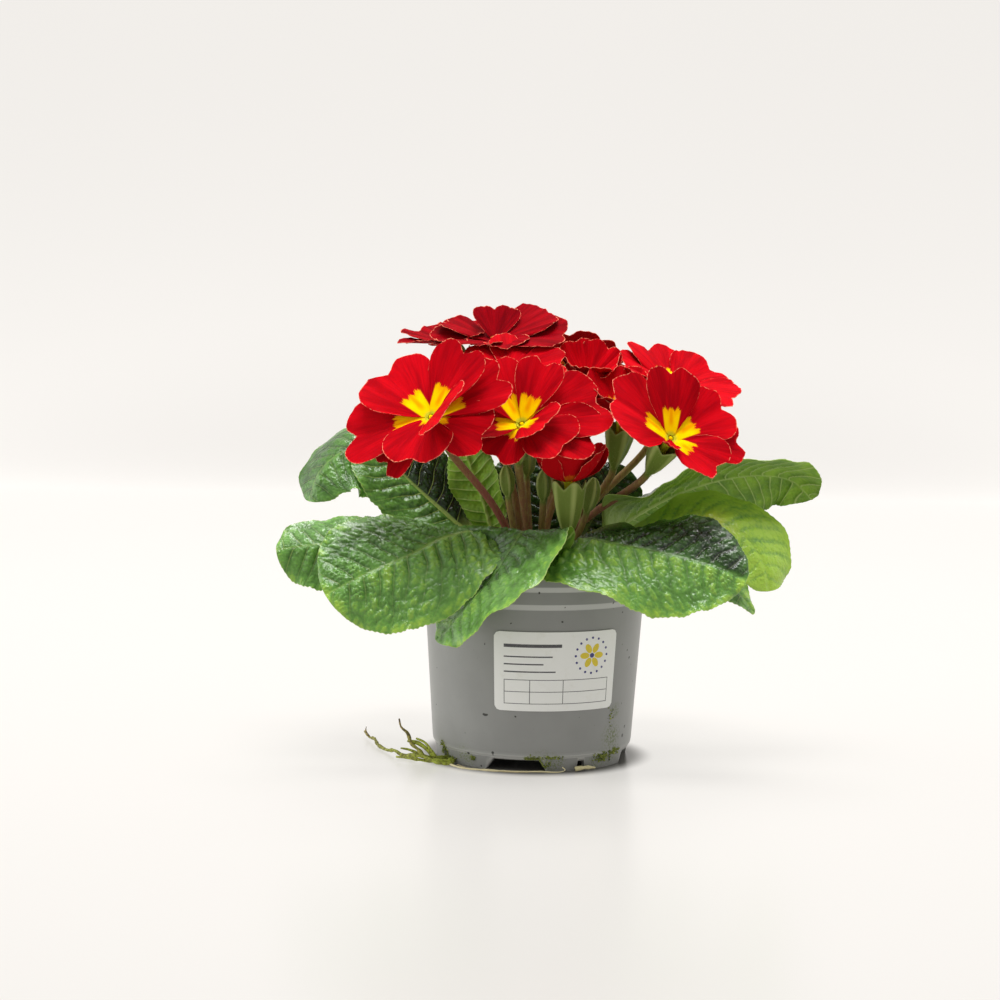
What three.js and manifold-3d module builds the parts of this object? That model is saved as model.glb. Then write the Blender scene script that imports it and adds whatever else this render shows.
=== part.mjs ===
// A red primrose in a grey nursery pot: pot, label, soil, leaves, blooms, buds and stray roots.
// Millimetres, +Z up. The origin is the middle of the pot's foot, on the surface it stands on,
// and -Y is the side with the label.

import * as THREE from 'three';
import Module from 'manifold-3d';

const wasm = await Module();
wasm.setup();

// ---------------------------------------------------------------- driving dimensions

const POT_HEIGHT = 90;
const POT_RIM_RADIUS = 52.5;
const POT_WALL = 1.6;
const POT_SIDES = 36;
const FACET = 360 / POT_SIDES;
const BODY_TOP = { radius: 50.6, z: 73.5 };
const BODY_FOOT = { radius: 46.2, z: 9 };
const FOOT_RADIUS = 45.1;
const FOOT_WIDTH = 2.6;
const FOOT_STEP = 6.2;
const FLOOR_UNDERSIDE = 5.4;
const FLOOR_TOP = 7.2;
const CENTRE_PAD_RADIUS = 9;

const NOTCH_AZIMUTHS = [-10, 80, 170, 260];
const NOTCH_WIDTH = 21;
const NOTCH_HEIGHT = 5.2;
const SLIT_AZIMUTHS = [-61, 29, 119, 209];
const SLIT_WIDTH = 3.4;
const DRAIN_RADIUS = 4;
const DRAIN_CIRCLE = 33;

const LABEL = { from: -22, to: 48, bottom: 27, top: 64.5, corner: 2.6, cornerSpan: 2.4, thickness: 0.4 };

const SOIL_TOP = 84;
const ROOT_DEPTH = 6;
const CLEARANCE = 0.3;
const SLIVER = 0.13;

const BLADE_THICKNESS = 0.8;
const RIB_AT_FOOT = 2.2;
const RIB_AT_TIP = 0.9;
const TOOTH_DEPTH = 0.06;
const PUCKER = 0.7;
const TIP_HALF_WIDTH = 1.6;
const PETIOLE_RADIUS = 2.3;
const LEAF_COLUMNS = [-1, -0.64, -0.3, 0, 0.3, 0.64, 1];
const BLADE_ROWS = [0, 0.16, 0.33, 0.5, 0.66, 0.81, 0.93, 1];

const PETAL_THICKNESS = 0.8;
const PETAL_ROWS = [0, 0.42, 0.8, 1];
const PETAL_COLUMNS = [-1, -0.55, 0, 0.55, 1];
const PETAL_NOTCH = 0.16;
const PETAL_SHOULDER = 0.3;
const PETAL_OVERLAP_RISE = 1.3;
const THROAT_RADIUS = 1.9;
const TUBE_SIDES = 6;
const EYE_TO_CALYX_BASE = 24;

const PEDICEL_RADIUS = 1.7;
const STEM_SIDES = 10;
const STALK_ROWS = [0, 0.35, 0.7];
const HOLE_SIDES = 6;
const PETIOLE_HOLE = PETIOLE_RADIUS * 1.35;
const PEDICEL_HOLE = (PEDICEL_RADIUS + CLEARANCE) / Math.cos(Math.PI / HOLE_SIDES);
const CALYX_FLOOR = 4;
const CALYX_SINUS = 14;
const SEPAL_TIP = 18.5;

const ROOT_SIDES = 6;
const ROOT_STEPS = 8;

// ---------------------------------------------------------------- small helpers

const UP = new THREE.Vector3(0, 0, 1);

function radians(degrees) {
  return degrees * Math.PI / 180;
}

function vec(x, y, z) {
  return new THREE.Vector3(x, y, z);
}

/** A point at an azimuth measured from -Y towards +X, as seen by someone facing the label. */
function polar(azimuth, radius, z) {
  const a = radians(azimuth);
  return vec(radius * Math.sin(a), -radius * Math.cos(a), z);
}

/** The point a + s x + t y + u z along three axes. */
function along(origin, axes, s, t, u) {
  return origin.clone()
    .addScaledVector(axes[0], s)
    .addScaledVector(axes[1], t)
    .addScaledVector(axes[2], u);
}

/** Makes an indexed geometry from points and triangles, with its faces turned outwards. */
function closedGeometry(points, index) {
  let volume = 0;
  for (let i = 0; i < index.length; i += 3) {
    const [a, b, c] = [points[index[i]], points[index[i + 1]], points[index[i + 2]]];
    volume += a.dot(b.clone().cross(c));
  }
  const geometry = new THREE.BufferGeometry();
  geometry.setAttribute('position', new THREE.Float32BufferAttribute(points.flatMap((p) => p.toArray()), 3));
  geometry.setIndex(volume > 0 ? index : index.toReversed());
  return geometry;
}

/** A closed sheet between two grids of points of the same size, split alike on both faces. */
function sheet(top, bottom) {
  const rows = top.length;
  const columns = top[0].length;
  const lastRow = rows - 1;
  const lastColumn = columns - 1;
  const at = (side, i, j) => (side * rows + i) * columns + j;
  const index = [];
  const quad = (a, b, c, d) => index.push(a, b, c, a, c, d);
  for (let i = 0; i < lastRow; i++) {
    for (let j = 0; j < lastColumn; j++) {
      quad(at(0, i, j), at(0, i + 1, j), at(0, i + 1, j + 1), at(0, i, j + 1));
      quad(at(1, i, j), at(1, i, j + 1), at(1, i + 1, j + 1), at(1, i + 1, j));
    }
    quad(at(0, i + 1, 0), at(0, i, 0), at(1, i, 0), at(1, i + 1, 0));
    quad(at(0, i, lastColumn), at(0, i + 1, lastColumn), at(1, i + 1, lastColumn), at(1, i, lastColumn));
  }
  for (let j = 0; j < lastColumn; j++) {
    quad(at(0, 0, j), at(0, 0, j + 1), at(1, 0, j + 1), at(1, 0, j));
    quad(at(0, lastRow, j + 1), at(0, lastRow, j), at(1, lastRow, j), at(1, lastRow, j + 1));
  }
  return closedGeometry([...top.flat(), ...bottom.flat()], index);
}

/** A closed skin through rings of points, its two ends closed by fans. */
function loft(rings) {
  const sides = rings[0].length;
  const points = rings.flat();
  const index = [];
  for (let k = 0; k + 1 < rings.length; k++) {
    for (let i = 0; i < sides; i++) {
      const next = (i + 1) % sides;
      const [a, b] = [k * sides + i, k * sides + next];
      index.push(a, b, b + sides, a, b + sides, a + sides);
    }
  }
  for (const end of [0, rings.length - 1]) {
    const centre = rings[end].reduce((sum, p) => sum.add(p), vec(0, 0, 0)).divideScalar(sides);
    points.push(centre);
    for (let i = 0; i < sides; i++) {
      const [a, b] = [end * sides + i, end * sides + (i + 1) % sides];
      index.push(...(end === 0 ? [points.length - 1, b, a] : [points.length - 1, a, b]));
    }
  }
  return closedGeometry(points, index);
}

/** A ring of points around a centre; radius may depend on the side's number. */
function ring(centre, xAxis, yAxis, radius, sides = STEM_SIDES, turn = 0) {
  return Array.from({ length: sides }, (_, i) => {
    const a = turn + 2 * Math.PI * i / sides;
    const r = typeof radius === 'function' ? radius(i) : radius;
    return centre.clone().addScaledVector(xAxis, r * Math.cos(a)).addScaledVector(yAxis, r * Math.sin(a));
  });
}

/** A lathe of a closed (radius, z) profile about Z, with a corner at the label's edge. */
function turned(profile, sides = POT_SIDES) {
  const points = profile.map(([r, z]) => new THREE.Vector2(r, z));
  const geometry = new THREE.LatheGeometry(points, sides, radians(LABEL.from), 2 * Math.PI);
  geometry.applyMatrix4(new THREE.Matrix4().makeBasis(vec(1, 0, 0), vec(0, 0, 1), vec(0, -1, 0)));
  return geometry;
}

// ---------------------------------------------------------------- solids

/** A geometry with only its positions, equal corners merged, as a manifold solid. */
function solidOf(geometry) {
  const position = geometry.getAttribute('position');
  const numbers = new Map();
  const vertices = [];
  const remap = [];
  for (let i = 0; i < position.count; i++) {
    const p = [position.getX(i), position.getY(i), position.getZ(i)];
    const key = p.map((v) => Math.round(v * 1e4)).join(',');
    if (!numbers.has(key)) {
      numbers.set(key, vertices.length / 3);
      vertices.push(...p);
    }
    remap.push(numbers.get(key));
  }
  const corners = geometry.index ? Array.from(geometry.index.array) : remap.map((_, i) => i);
  const triangles = [];
  for (let i = 0; i < corners.length; i += 3) {
    const [a, b, c] = [remap[corners[i]], remap[corners[i + 1]], remap[corners[i + 2]]];
    if (a !== b && b !== c && c !== a) {
      triangles.push(a, b, c);
    }
  }
  return new wasm.Manifold(new wasm.Mesh({
    numProp: 3,
    vertProperties: new Float32Array(vertices),
    triVerts: new Uint32Array(triangles),
  }));
}

/** A manifold solid back as a geometry: its largest body, with sealed hollows filled. */
function geometryOf(solid) {
  const body = solid.simplify(SLIVER).decompose()
    .reduce((best, part) => (part.volume() > best.volume() ? part : best));
  const mesh = body.getMesh();
  const geometry = new THREE.BufferGeometry();
  geometry.setAttribute('position', new THREE.BufferAttribute(new Float32Array(mesh.vertProperties), 3));
  geometry.setIndex(new THREE.BufferAttribute(new Uint32Array(mesh.triVerts), 1));
  return geometry;
}

function fuse(geometries) {
  return geometryOf(geometries.map(solidOf).reduce((sum, part) => sum.add(part)));
}

function cut(geometry, cutters) {
  return geometryOf(cutters.map(solidOf).reduce((rest, cutter) => rest.subtract(cutter), solidOf(geometry)));
}

// ---------------------------------------------------------------- materials

function finish(color, roughness) {
  return new THREE.MeshStandardMaterial({ color, roughness, metalness: 0 });
}

const POT_GREY = finish(0x85878a, 0.5);
const LABEL_WHITE = finish(0xf2f2f0, 0.6);
const SOIL_BROWN = finish(0x2a2019, 1);
const LEAF_GREEN = finish(0x4d7d33, 0.5);
const PETAL_RED = finish(0xc10d1b, 0.6);
const STEM_GREEN = finish(0x7d8a5c, 0.7);
const ROOT_BROWN = finish(0x6f7a3a, 0.8);

const group = new THREE.Group();

function add(name, geometry, material) {
  const mesh = new THREE.Mesh(geometry, material);
  mesh.name = name;
  group.add(mesh);
}

// ---------------------------------------------------------------- pot, label, soil

/** The pot body's outer radius at a height, on its straight taper. */
function bodyRadius(z) {
  const share = (z - BODY_FOOT.z) / (BODY_TOP.z - BODY_FOOT.z);
  return BODY_FOOT.radius + share * (BODY_TOP.radius - BODY_FOOT.radius);
}

function makePot() {
  const footInner = FOOT_RADIUS - FOOT_WIDTH;
  const shell = turned([
    [0, 0],
    [CENTRE_PAD_RADIUS, 0],
    [CENTRE_PAD_RADIUS, FLOOR_UNDERSIDE],
    [footInner - 0.6, FLOOR_UNDERSIDE],
    [footInner, 0],
    [FOOT_RADIUS - 0.5, 0],
    [FOOT_RADIUS, FOOT_STEP],
    [FOOT_RADIUS + 0.8, FOOT_STEP + 0.9],
    [BODY_FOOT.radius, BODY_FOOT.z],
    [BODY_TOP.radius, BODY_TOP.z],
    [BODY_TOP.radius + 0.9, BODY_TOP.z + 2.6],
    [BODY_TOP.radius + 1, POT_HEIGHT - 8.4],
    [POT_RIM_RADIUS, POT_HEIGHT - 6],
    [POT_RIM_RADIUS, POT_HEIGHT - 0.8],
    [POT_RIM_RADIUS - 0.8, POT_HEIGHT],
    [POT_RIM_RADIUS - POT_WALL - 0.3, POT_HEIGHT - 0.6],
    [BODY_TOP.radius - POT_WALL, BODY_TOP.z],
    [BODY_FOOT.radius - POT_WALL, FLOOR_TOP],
    [0, FLOOR_TOP],
  ]);
  const notches = NOTCH_AZIMUTHS.map((azimuth) => footCutter(azimuth, NOTCH_WIDTH, NOTCH_HEIGHT, 3.5));
  const slits = SLIT_AZIMUTHS.map((azimuth) => footCutter(azimuth, SLIT_WIDTH, NOTCH_HEIGHT - 0.8, 0.4));
  const drains = NOTCH_AZIMUTHS.map((azimuth) => {
    const drain = new THREE.CylinderGeometry(DRAIN_RADIUS, DRAIN_RADIUS, 6, 8);
    drain.rotateX(Math.PI / 2);
    const place = polar(azimuth, DRAIN_CIRCLE, (FLOOR_TOP + FLOOR_UNDERSIDE) / 2);
    drain.translate(place.x, place.y, place.z);
    return drain;
  });
  add('pot', cut(shell, [...notches, ...slits, ...drains]), POT_GREY);
}

/** A tapered block through the foot ring, wider at the surface by the given slant. */
function footCutter(azimuth, width, height, slant) {
  const outline = new THREE.Shape([
    new THREE.Vector2(-width / 2 - slant, -1),
    new THREE.Vector2(width / 2 + slant, -1),
    new THREE.Vector2(width / 2, height),
    new THREE.Vector2(-width / 2, height),
  ]);
  const block = new THREE.ExtrudeGeometry(outline, { depth: 14, bevelEnabled: false });
  block.rotateX(Math.PI / 2);
  block.translate(0, -36, 0);
  block.rotateZ(radians(azimuth));
  return block;
}

/** A point on the pot's facets, stood off by a distance. */
function onPotSkin(azimuth, z, standoff) {
  const facet = Math.floor((azimuth - LABEL.from) / FACET + 1e-9);
  const start = LABEL.from + facet * FACET;
  const radius = bodyRadius(z) + standoff;
  return polar(start, radius, z).lerp(polar(start + FACET, radius, z), (azimuth - start) / FACET);
}

function makeLabel() {
  const facets = Math.round((LABEL.to - LABEL.from) / FACET);
  const inner = Array.from({ length: facets - 1 }, (_, i) => LABEL.from + (i + 1) * FACET);
  const azimuths = [
    LABEL.from, LABEL.from + LABEL.cornerSpan, ...inner, LABEL.to - LABEL.cornerSpan, LABEL.to,
  ];
  const heights = [0, 1 / 3, 2 / 3, 1];
  const face = (standoff) => heights.map((share) => azimuths.map((azimuth, i) => {
    const atEnd = i === 0 || i === azimuths.length - 1;
    const corner = atEnd ? LABEL.corner : 0;
    const z = THREE.MathUtils.lerp(LABEL.bottom + corner, LABEL.top - corner, share);
    return onPotSkin(azimuth, z, standoff);
  }));
  add('label', sheet(face(CLEARANCE + LABEL.thickness), face(CLEARANCE)), LABEL_WHITE);
}

function makeSoil(roots) {
  const inner = (z) => bodyRadius(z) - POT_WALL - CLEARANCE;
  const ball = turned([
    [0, FLOOR_TOP + CLEARANCE],
    [inner(FLOOR_TOP) - 0.4, FLOOR_TOP + CLEARANCE],
    [inner(BODY_TOP.z) - 0.2, BODY_TOP.z],
    [inner(BODY_TOP.z) - 0.2, SOIL_TOP - 1],
    [inner(BODY_TOP.z) - 6, SOIL_TOP],
    [0, SOIL_TOP],
  ]);
  const holes = roots.map(({ at, radius }) => {
    const hole = new THREE.CylinderGeometry(radius, radius, 2 * (ROOT_DEPTH + CLEARANCE), HOLE_SIDES);
    hole.rotateX(Math.PI / 2);
    hole.translate(at[0], at[1], SOIL_TOP);
    return hole;
  });
  add('soil', cut(ball, holes), SOIL_BROWN);
}

// ---------------------------------------------------------------- leaves

/**
 * The half width of a blade, as a share of its widest, from its foot (0) to its tip (1).
 * A small foot makes it broad near its foot, and a small tip makes its tip blunt.
 */
function bladeProfile(s, foot, tip) {
  const peak = foot / (foot + tip);
  return s ** foot * (1 - s) ** tip / (peak ** foot * (1 - peak) ** tip);
}

const COMMON_LEAF = { rollBy: 0.45, fold: 8, wave: 2, foot: 0.9, tip: 0.5, sag: 0.1 };

/**
 * One leaf: a round petiole that stands in the soil and widens into a blade.
 * path: hand-set points of the midrib from the soil to the tip. width: the blade at its widest.
 * from: the share of the path that is bare petiole. roll: the turn of the blade about its midrib,
 * degrees, that lifts its right side as seen from its foot, and rollBy the share of the blade in
 * which it turns. fold: how far both halves hang below the midrib, degrees. wave: the height of the
 * margin's waves. foot and tip shape the outline, and sag is the droop of the margins.
 */
function leafGeometry(leaf) {
  const { path, width, from, roll, rollBy, fold, wave, foot, tip, sag } = { ...COMMON_LEAF, ...leaf };
  const start = vec(path[0][0], path[0][1], SOIL_TOP - ROOT_DEPTH);
  const curve = new THREE.CatmullRomCurve3([start, ...path.map((p) => vec(...p))], false, 'centripetal');
  const length = curve.getLength();
  const stub = (ROOT_DEPTH + 1) / length;
  const stations = [0, stub, (stub + from) / 2, ...BLADE_ROWS.map((s) => from + s * (1 - from))];
  const end = path.at(-1);
  const heading = vec(end[0] - path[0][0], end[1] - path[0][1], 0).normalize();
  const right = heading.clone().cross(UP);
  const top = [];
  const bottom = [];
  stations.forEach((u, i) => {
    const s = Math.max(0, (u - from) / (1 - from));
    const centre = curve.getPointAt(u);
    const tangent = curve.getTangentAt(u);
    const side = right.clone().addScaledVector(tangent, -right.dot(tangent)).normalize();
    const normal = side.clone().cross(tangent);
    const turn = radians(roll) * THREE.MathUtils.smoothstep(u, stub, from + rollBy * (1 - from));
    const across = side.clone().multiplyScalar(Math.cos(turn)).addScaledVector(normal, Math.sin(turn));
    const up = normal.clone().multiplyScalar(Math.cos(turn)).addScaledVector(side, -Math.sin(turn));
    const blade = THREE.MathUtils.smoothstep(s, 0, 0.2);
    const half = PETIOLE_RADIUS + (width / 2 - PETIOLE_RADIUS) * bladeProfile(s, foot, tip);
    const isTip = i === stations.length - 1;
    const toothed = i % 2 ? 1 : 1 - TOOTH_DEPTH;
    const tilt = radians(fold) * blade;
    const rib = THREE.MathUtils.lerp(RIB_AT_FOOT, RIB_AT_TIP, s);
    const topRow = [];
    const bottomRow = [];
    for (const v of LEAF_COLUMNS) {
      const reach = v * (isTip ? TIP_HALF_WIDTH : half * (Math.abs(v) === 1 ? toothed : 1));
      const round = PETIOLE_RADIUS * (0.2 + 0.8 * Math.sqrt(1 - v * v));
      const pucker = (i % 2 ? PUCKER : -PUCKER) * Math.sin(Math.PI * Math.abs(v));
      const margin = wave * v * v * Math.abs(v) * Math.sin(2.1 * i + 2 * v);
      const drop = sag * reach * reach / (width / 2);
      const form = isTip ? 0 : (pucker + margin) * Math.min(1, half / 12) - drop;
      const spread = reach * Math.cos(tilt);
      const height = THREE.MathUtils.lerp(round, form - Math.abs(reach) * Math.sin(tilt), blade);
      const thickness = THREE.MathUtils.lerp(2 * round, v === 0 ? rib : BLADE_THICKNESS, blade);
      const point = centre.clone().addScaledVector(across, spread).addScaledVector(up, height);
      topRow.push(point);
      bottomRow.push(point.clone().addScaledVector(up, -thickness));
    }
    top.push(topRow);
    bottom.push(bottomRow);
  });
  return sheet(top, bottom);
}

const LEAVES = {
  leaf_front_left: {
    path: [[-14, -13, 84], [-17, -17, 97], [-26, -27, 106], [-41, -41, 105], [-56, -51, 98], [-71, -58, 92],
      [-84, -62, 86], [-95, -64, 80]],
    width: 70, from: 0.3, roll: 48, rollBy: 0.8, foot: 1, tip: 0.8,
  },
  leaf_front: {
    path: [[-4, -20, 84], [-5, -25, 96], [-8, -40, 104], [-13, -55.5, 97], [-20, -65, 85], [-28, -70, 74],
      [-36, -72, 65]],
    width: 38, from: 0.18, roll: -16, rollBy: 0.9, fold: 4, foot: 0.7,
  },
  leaf_left: {
    path: [[-20, -6, 84], [-28, -9, 94], [-50, -17, 99], [-76, -21, 101], [-98, -22, 100], [-118, -22, 97]],
    width: 41, from: 0.45, roll: 55,
  },
  leaf_upper_left: {
    path: [[-18, 9, 84], [-30, 14, 104], [-50, 20, 125], [-72, 22, 138], [-92, 20, 140], [-105, 17, 130],
      [-110, 15, 117]],
    width: 46, from: 0.35, roll: 50,
  },
  leaf_upright_left: {
    path: [[-20, 1, 84], [-26, 1, 97], [-40, 1, 110], [-56, 2, 124], [-70, 4, 138], [-77, 6, 148]],
    width: 44, from: 0.25, roll: 62, fold: -12,
  },
  leaf_inner_left: {
    path: [[-15, -1, 84], [-18, 0, 100], [-23, 0, 118], [-29, 1, 134], [-34, 2, 147]],
    width: 26, from: 0.2, roll: -75,
  },
  leaf_front_right: {
    path: [[13, -16, 84], [15, -21, 100], [21, -34, 110], [34, -45, 109], [50, -52, 105], [67, -57, 102],
      [84, -60, 97], [96, -60, 90]],
    width: 66, from: 0.14, roll: -42, foot: 0.7,
  },
  leaf_under_right: {
    path: [[20, -9, 84], [22, -11, 92], [34, -20, 97], [54, -33, 97], [73, -43, 93], [88, -49, 85],
      [97, -51, 75]],
    width: 26, from: 0.45, roll: -20,
  },
  leaf_hanging_right: {
    path: [[21, -2, 84], [34, -3, 98], [56, -6, 107], [78, -9, 108], [96, -13, 98], [105, -17, 84],
      [107, -19, 75]],
    width: 44, from: 0.3, roll: -50,
  },
  leaf_upper_right: {
    path: [[20, 5, 84], [34, 8, 104], [56, 10, 120], [80, 12, 131], [104, 14, 136], [122, 17, 132],
      [132, 19, 121]],
    width: 58, from: 0.35, roll: 38, fold: 30,
  },
  leaf_inner_right: {
    path: [[17, 11, 84], [22, 15, 100], [33, 21, 117], [44, 25, 132]],
    width: 26, from: 0.25, roll: -70,
  },
  leaf_back_left: {
    path: [[-12, 16, 84], [-22, 30, 102], [-42, 52, 112], [-62, 72, 106], [-76, 86, 90]],
    width: 56, from: 0.22, roll: 8,
  },
  leaf_back: {
    path: [[-3, 20, 84], [-3, 36, 100], [0, 60, 108], [4, 82, 100], [6, 98, 84]],
    width: 54, from: 0.22, roll: -6,
  },
  leaf_back_right: {
    path: [[12, 16, 84], [24, 30, 104], [44, 48, 116], [66, 64, 112], [82, 76, 98]],
    width: 56, from: 0.22, roll: -8,
  },
  leaf_inner_back: {
    path: [[5, 17, 84], [5, 24, 104], [5, 31, 126], [5, 36, 142]],
    width: 30, from: 0.25, roll: 0,
  },
};

// ---------------------------------------------------------------- blooms and buds

const COMMON_BLOOM = { petalWidth: 0.6, lifts: [0, 0, 0, 0, 0] };

/** Right, up and facing axes of a bloom that faces along a direction. */
function bloomAxes(facing) {
  const n = vec(...facing).normalize();
  const up = UP.clone().addScaledVector(n, -UP.dot(n)).normalize();
  return [up.clone().cross(n), up, n];
}

/** One heart-shaped petal of a bloom, number k of five. */
function petalGeometry(bloom, k) {
  const { eye, axes, radius, spin, lift, reflex, petalWidth, lifts } = { ...COMMON_BLOOM, ...bloom };
  const angle = radians(spin + 72 * k);
  const outward = axes[0].clone().multiplyScalar(Math.cos(angle)).addScaledVector(axes[1], Math.sin(angle));
  const sideways = axes[1].clone().multiplyScalar(Math.cos(angle)).addScaledVector(axes[0], -Math.sin(angle));
  const rise = radians(lift + lifts[k]);
  const radial = outward.clone().multiplyScalar(Math.cos(rise)).addScaledVector(axes[2], Math.sin(rise));
  const normal = axes[2].clone().multiplyScalar(Math.cos(rise)).addScaledVector(outward, -Math.sin(rise));
  const grid = (depth) => PETAL_ROWS.map((t) => PETAL_COLUMNS.map((v) => {
    const notch = PETAL_NOTCH * Math.max(0, 1 - Math.abs(v) / 0.5);
    const reach = radius * (1 - notch - PETAL_SHOULDER * Math.abs(v) ** 3);
    const across = v * (0.9 + radius * petalWidth * t ** 0.8);
    const height = PETAL_OVERLAP_RISE * v * t - reflex * t * t;
    return along(eye, [radial, sideways, normal], 1 + (reach - 1) * t, across, height - depth);
  }));
  return sheet(grid(0), grid(PETAL_THICKNESS));
}

/** Five overlapping petals fused to the corolla tube that stands in the calyx. */
function corollaGeometry(bloom) {
  const [right, up, facing] = bloom.axes;
  const tubeFoot = -(EYE_TO_CALYX_BASE - CALYX_FLOOR - CLEARANCE);
  const tubeTop = 0.2 + Math.sin(radians(bloom.lift));
  const tube = loft([[tubeFoot, THROAT_RADIUS - 0.3], [-3, THROAT_RADIUS], [tubeTop, THROAT_RADIUS + 0.8]]
    .map(([z, r]) => ring(bloom.eye.clone().addScaledVector(facing, z), right, up, r, TUBE_SIDES)));
  return fuse([tube, ...[0, 1, 2, 3, 4].map((k) => petalGeometry(bloom, k))]);
}

/** Rings of a round stalk from its foot in the soil up to a point reached along a direction. */
function stalkRings(root, target, direction, radius) {
  const foot = vec(root[0], root[1], SOIL_TOP + 1);
  const reach = foot.distanceTo(target);
  const curve = new THREE.CubicBezierCurve3(
    foot,
    foot.clone().addScaledVector(UP, 0.4 * reach),
    target.clone().addScaledVector(direction, -0.3 * reach),
    target,
  );
  const xAxis = vec(1, 0, 0);
  const rings = [ring(vec(root[0], root[1], SOIL_TOP - ROOT_DEPTH), xAxis, vec(0, 1, 0), radius)];
  for (const u of STALK_ROWS) {
    const tangent = curve.getTangentAt(u);
    const x = xAxis.clone().addScaledVector(tangent, -xAxis.dot(tangent)).normalize();
    rings.push(ring(curve.getPointAt(u), x, tangent.clone().cross(x), radius));
  }
  return rings;
}

/** A stalk and its ridged calyx: a cup of five pointed sepals with a hole for the corolla tube. */
function stemGeometry({ eye, axes, root }) {
  const facing = axes[2];
  const base = eye.clone().addScaledVector(facing, -EYE_TO_CALYX_BASE);
  const x = vec(1, 0, 0).addScaledVector(facing, -facing.x).normalize();
  const y = facing.clone().cross(x);
  const ridge = (r, depth) => (i) => r + (i % 2 ? -depth : depth);
  const level = (height, radius) => ring(base.clone().addScaledVector(facing, height), x, y, radius);
  const edge = (tipRadius, sinusRadius) => level(CALYX_SINUS, sinusRadius).map((p, i) => {
    const tip = ring(base.clone().addScaledVector(facing, SEPAL_TIP), x, y, tipRadius)[i];
    return i % 2 ? p : tip;
  });
  const rings = [
    ...stalkRings(root, base, facing, PEDICEL_RADIUS),
    level(0, PEDICEL_RADIUS + 0.3),
    level(3, ridge(3.6, 0.3)),
    level(8, ridge(4.4, 0.5)),
    edge(7.2, 4.9),
    edge(6.3, 4.0),
    level(8, ridge(3.1, 0.2)),
    level(CALYX_FLOOR, THROAT_RADIUS + 0.5),
  ];
  return loft(rings);
}

/** A closed bud on its stalk: a calyx whose top draws in round the folded petals. */
function budGeometry({ root, base, facing, size }) {
  const direction = vec(...facing).normalize();
  const start = vec(...base);
  const x = vec(1, 0, 0).addScaledVector(direction, -direction.x).normalize();
  const y = direction.clone().cross(x);
  const level = (height, radius, depth) => {
    const centre = start.clone().addScaledVector(direction, height * size);
    return ring(centre, x, y, (i) => size * (radius + (i % 2 ? -depth : depth)));
  };
  return loft([
    ...stalkRings(root, start, direction, PEDICEL_RADIUS - 0.2),
    level(0, 1.7, 0),
    level(3, 3.4, 0.3),
    level(8, 4.3, 0.5),
    level(12.5, 3.9, 0.7),
    level(16, 2.2, 0.5),
    level(18, 0.5, 0.1),
  ]);
}

const BLOOMS = {
  bloom_front_left: {
    eye: [-51, -50, 159.5], facing: [-0.28, -0.76, 0.58], radius: 33, spin: 50, lift: 6, reflex: 2,
    root: [-9, -6.5], lifts: [0, 0, 0, 0, 12],
  },
  bloom_front: {
    eye: [-5, -44, 159], facing: [0.03, -0.7, 0.71], radius: 31, spin: 30, lift: 8, reflex: 2,
    root: [-2, -10],
  },
  bloom_front_right: {
    eye: [58, -44, 152], facing: [0.34, -0.66, 0.67], radius: 32, spin: 16, lift: 14, reflex: 1,
    root: [10, -5],
  },
  bloom_top: {
    eye: [-20, 14, 193], facing: [0, -0.42, 0.9], radius: 29, spin: 20, lift: 14, reflex: 1,
    root: [-5.4, 6],
  },
  bloom_middle_left: {
    eye: [-14, -12, 176], facing: [-0.08, -0.5, 0.87], radius: 25, spin: 55, lift: 6, reflex: 2,
    root: [-3.4, -1.2],
  },
  bloom_back: {
    eye: [22, 45, 178], facing: [0.15, 0.5, 0.85], radius: 27, spin: 10, lift: 8, reflex: 2,
    root: [4.3, 10.2],
  },
  bloom_middle_right: {
    eye: [22.5, 4, 175], facing: [0.1, -0.35, 0.93], radius: 20, spin: 40, lift: 40, reflex: 0,
    root: [2.5, 4.4], petalWidth: 0.5,
  },
  bloom_right: {
    eye: [63.5, 12, 174], facing: [0.3, -0.35, 0.89], radius: 30, spin: 0, lift: 10, reflex: 2,
    root: [12.8, 3],
  },
  bloom_low_right: {
    eye: [38, -14, 155.5], facing: [0.15, -0.2, 0.97], radius: 21, spin: 35, lift: 6, reflex: 2,
    root: [7, 0],
  },
  bloom_half_open: {
    eye: [14, -34, 133.5], facing: [0.03, -0.1, 0.99], radius: 20, spin: 18, lift: 62, reflex: 0,
    root: [4.2, -11.4], petalWidth: 0.42,
  },
  bloom_left: {
    eye: [-40, 38, 188], facing: [-0.15, 0.15, 0.97], radius: 22, spin: 30, lift: 8, reflex: 2,
    root: [-11.6, 3.2],
  },
};

const BUDS = {
  bud_front_left: { root: [-7.5, -12], base: [-13, -20, 122], facing: [-0.1, -0.2, 1], size: 0.8 },
  bud_front: { root: [2, -4.8], base: [3, -17, 120], facing: [0, -0.2, 1], size: 0.8 },
  bud_right: { root: [14.5, -9.5], base: [23, -17, 115], facing: [0.2, -0.1, 1], size: 0.9 },
  bud_back: { root: [-2, 11.5], base: [-4, 22, 128], facing: [0, 0.2, 1], size: 0.9 },
};

// ---------------------------------------------------------------- stray roots

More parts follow.
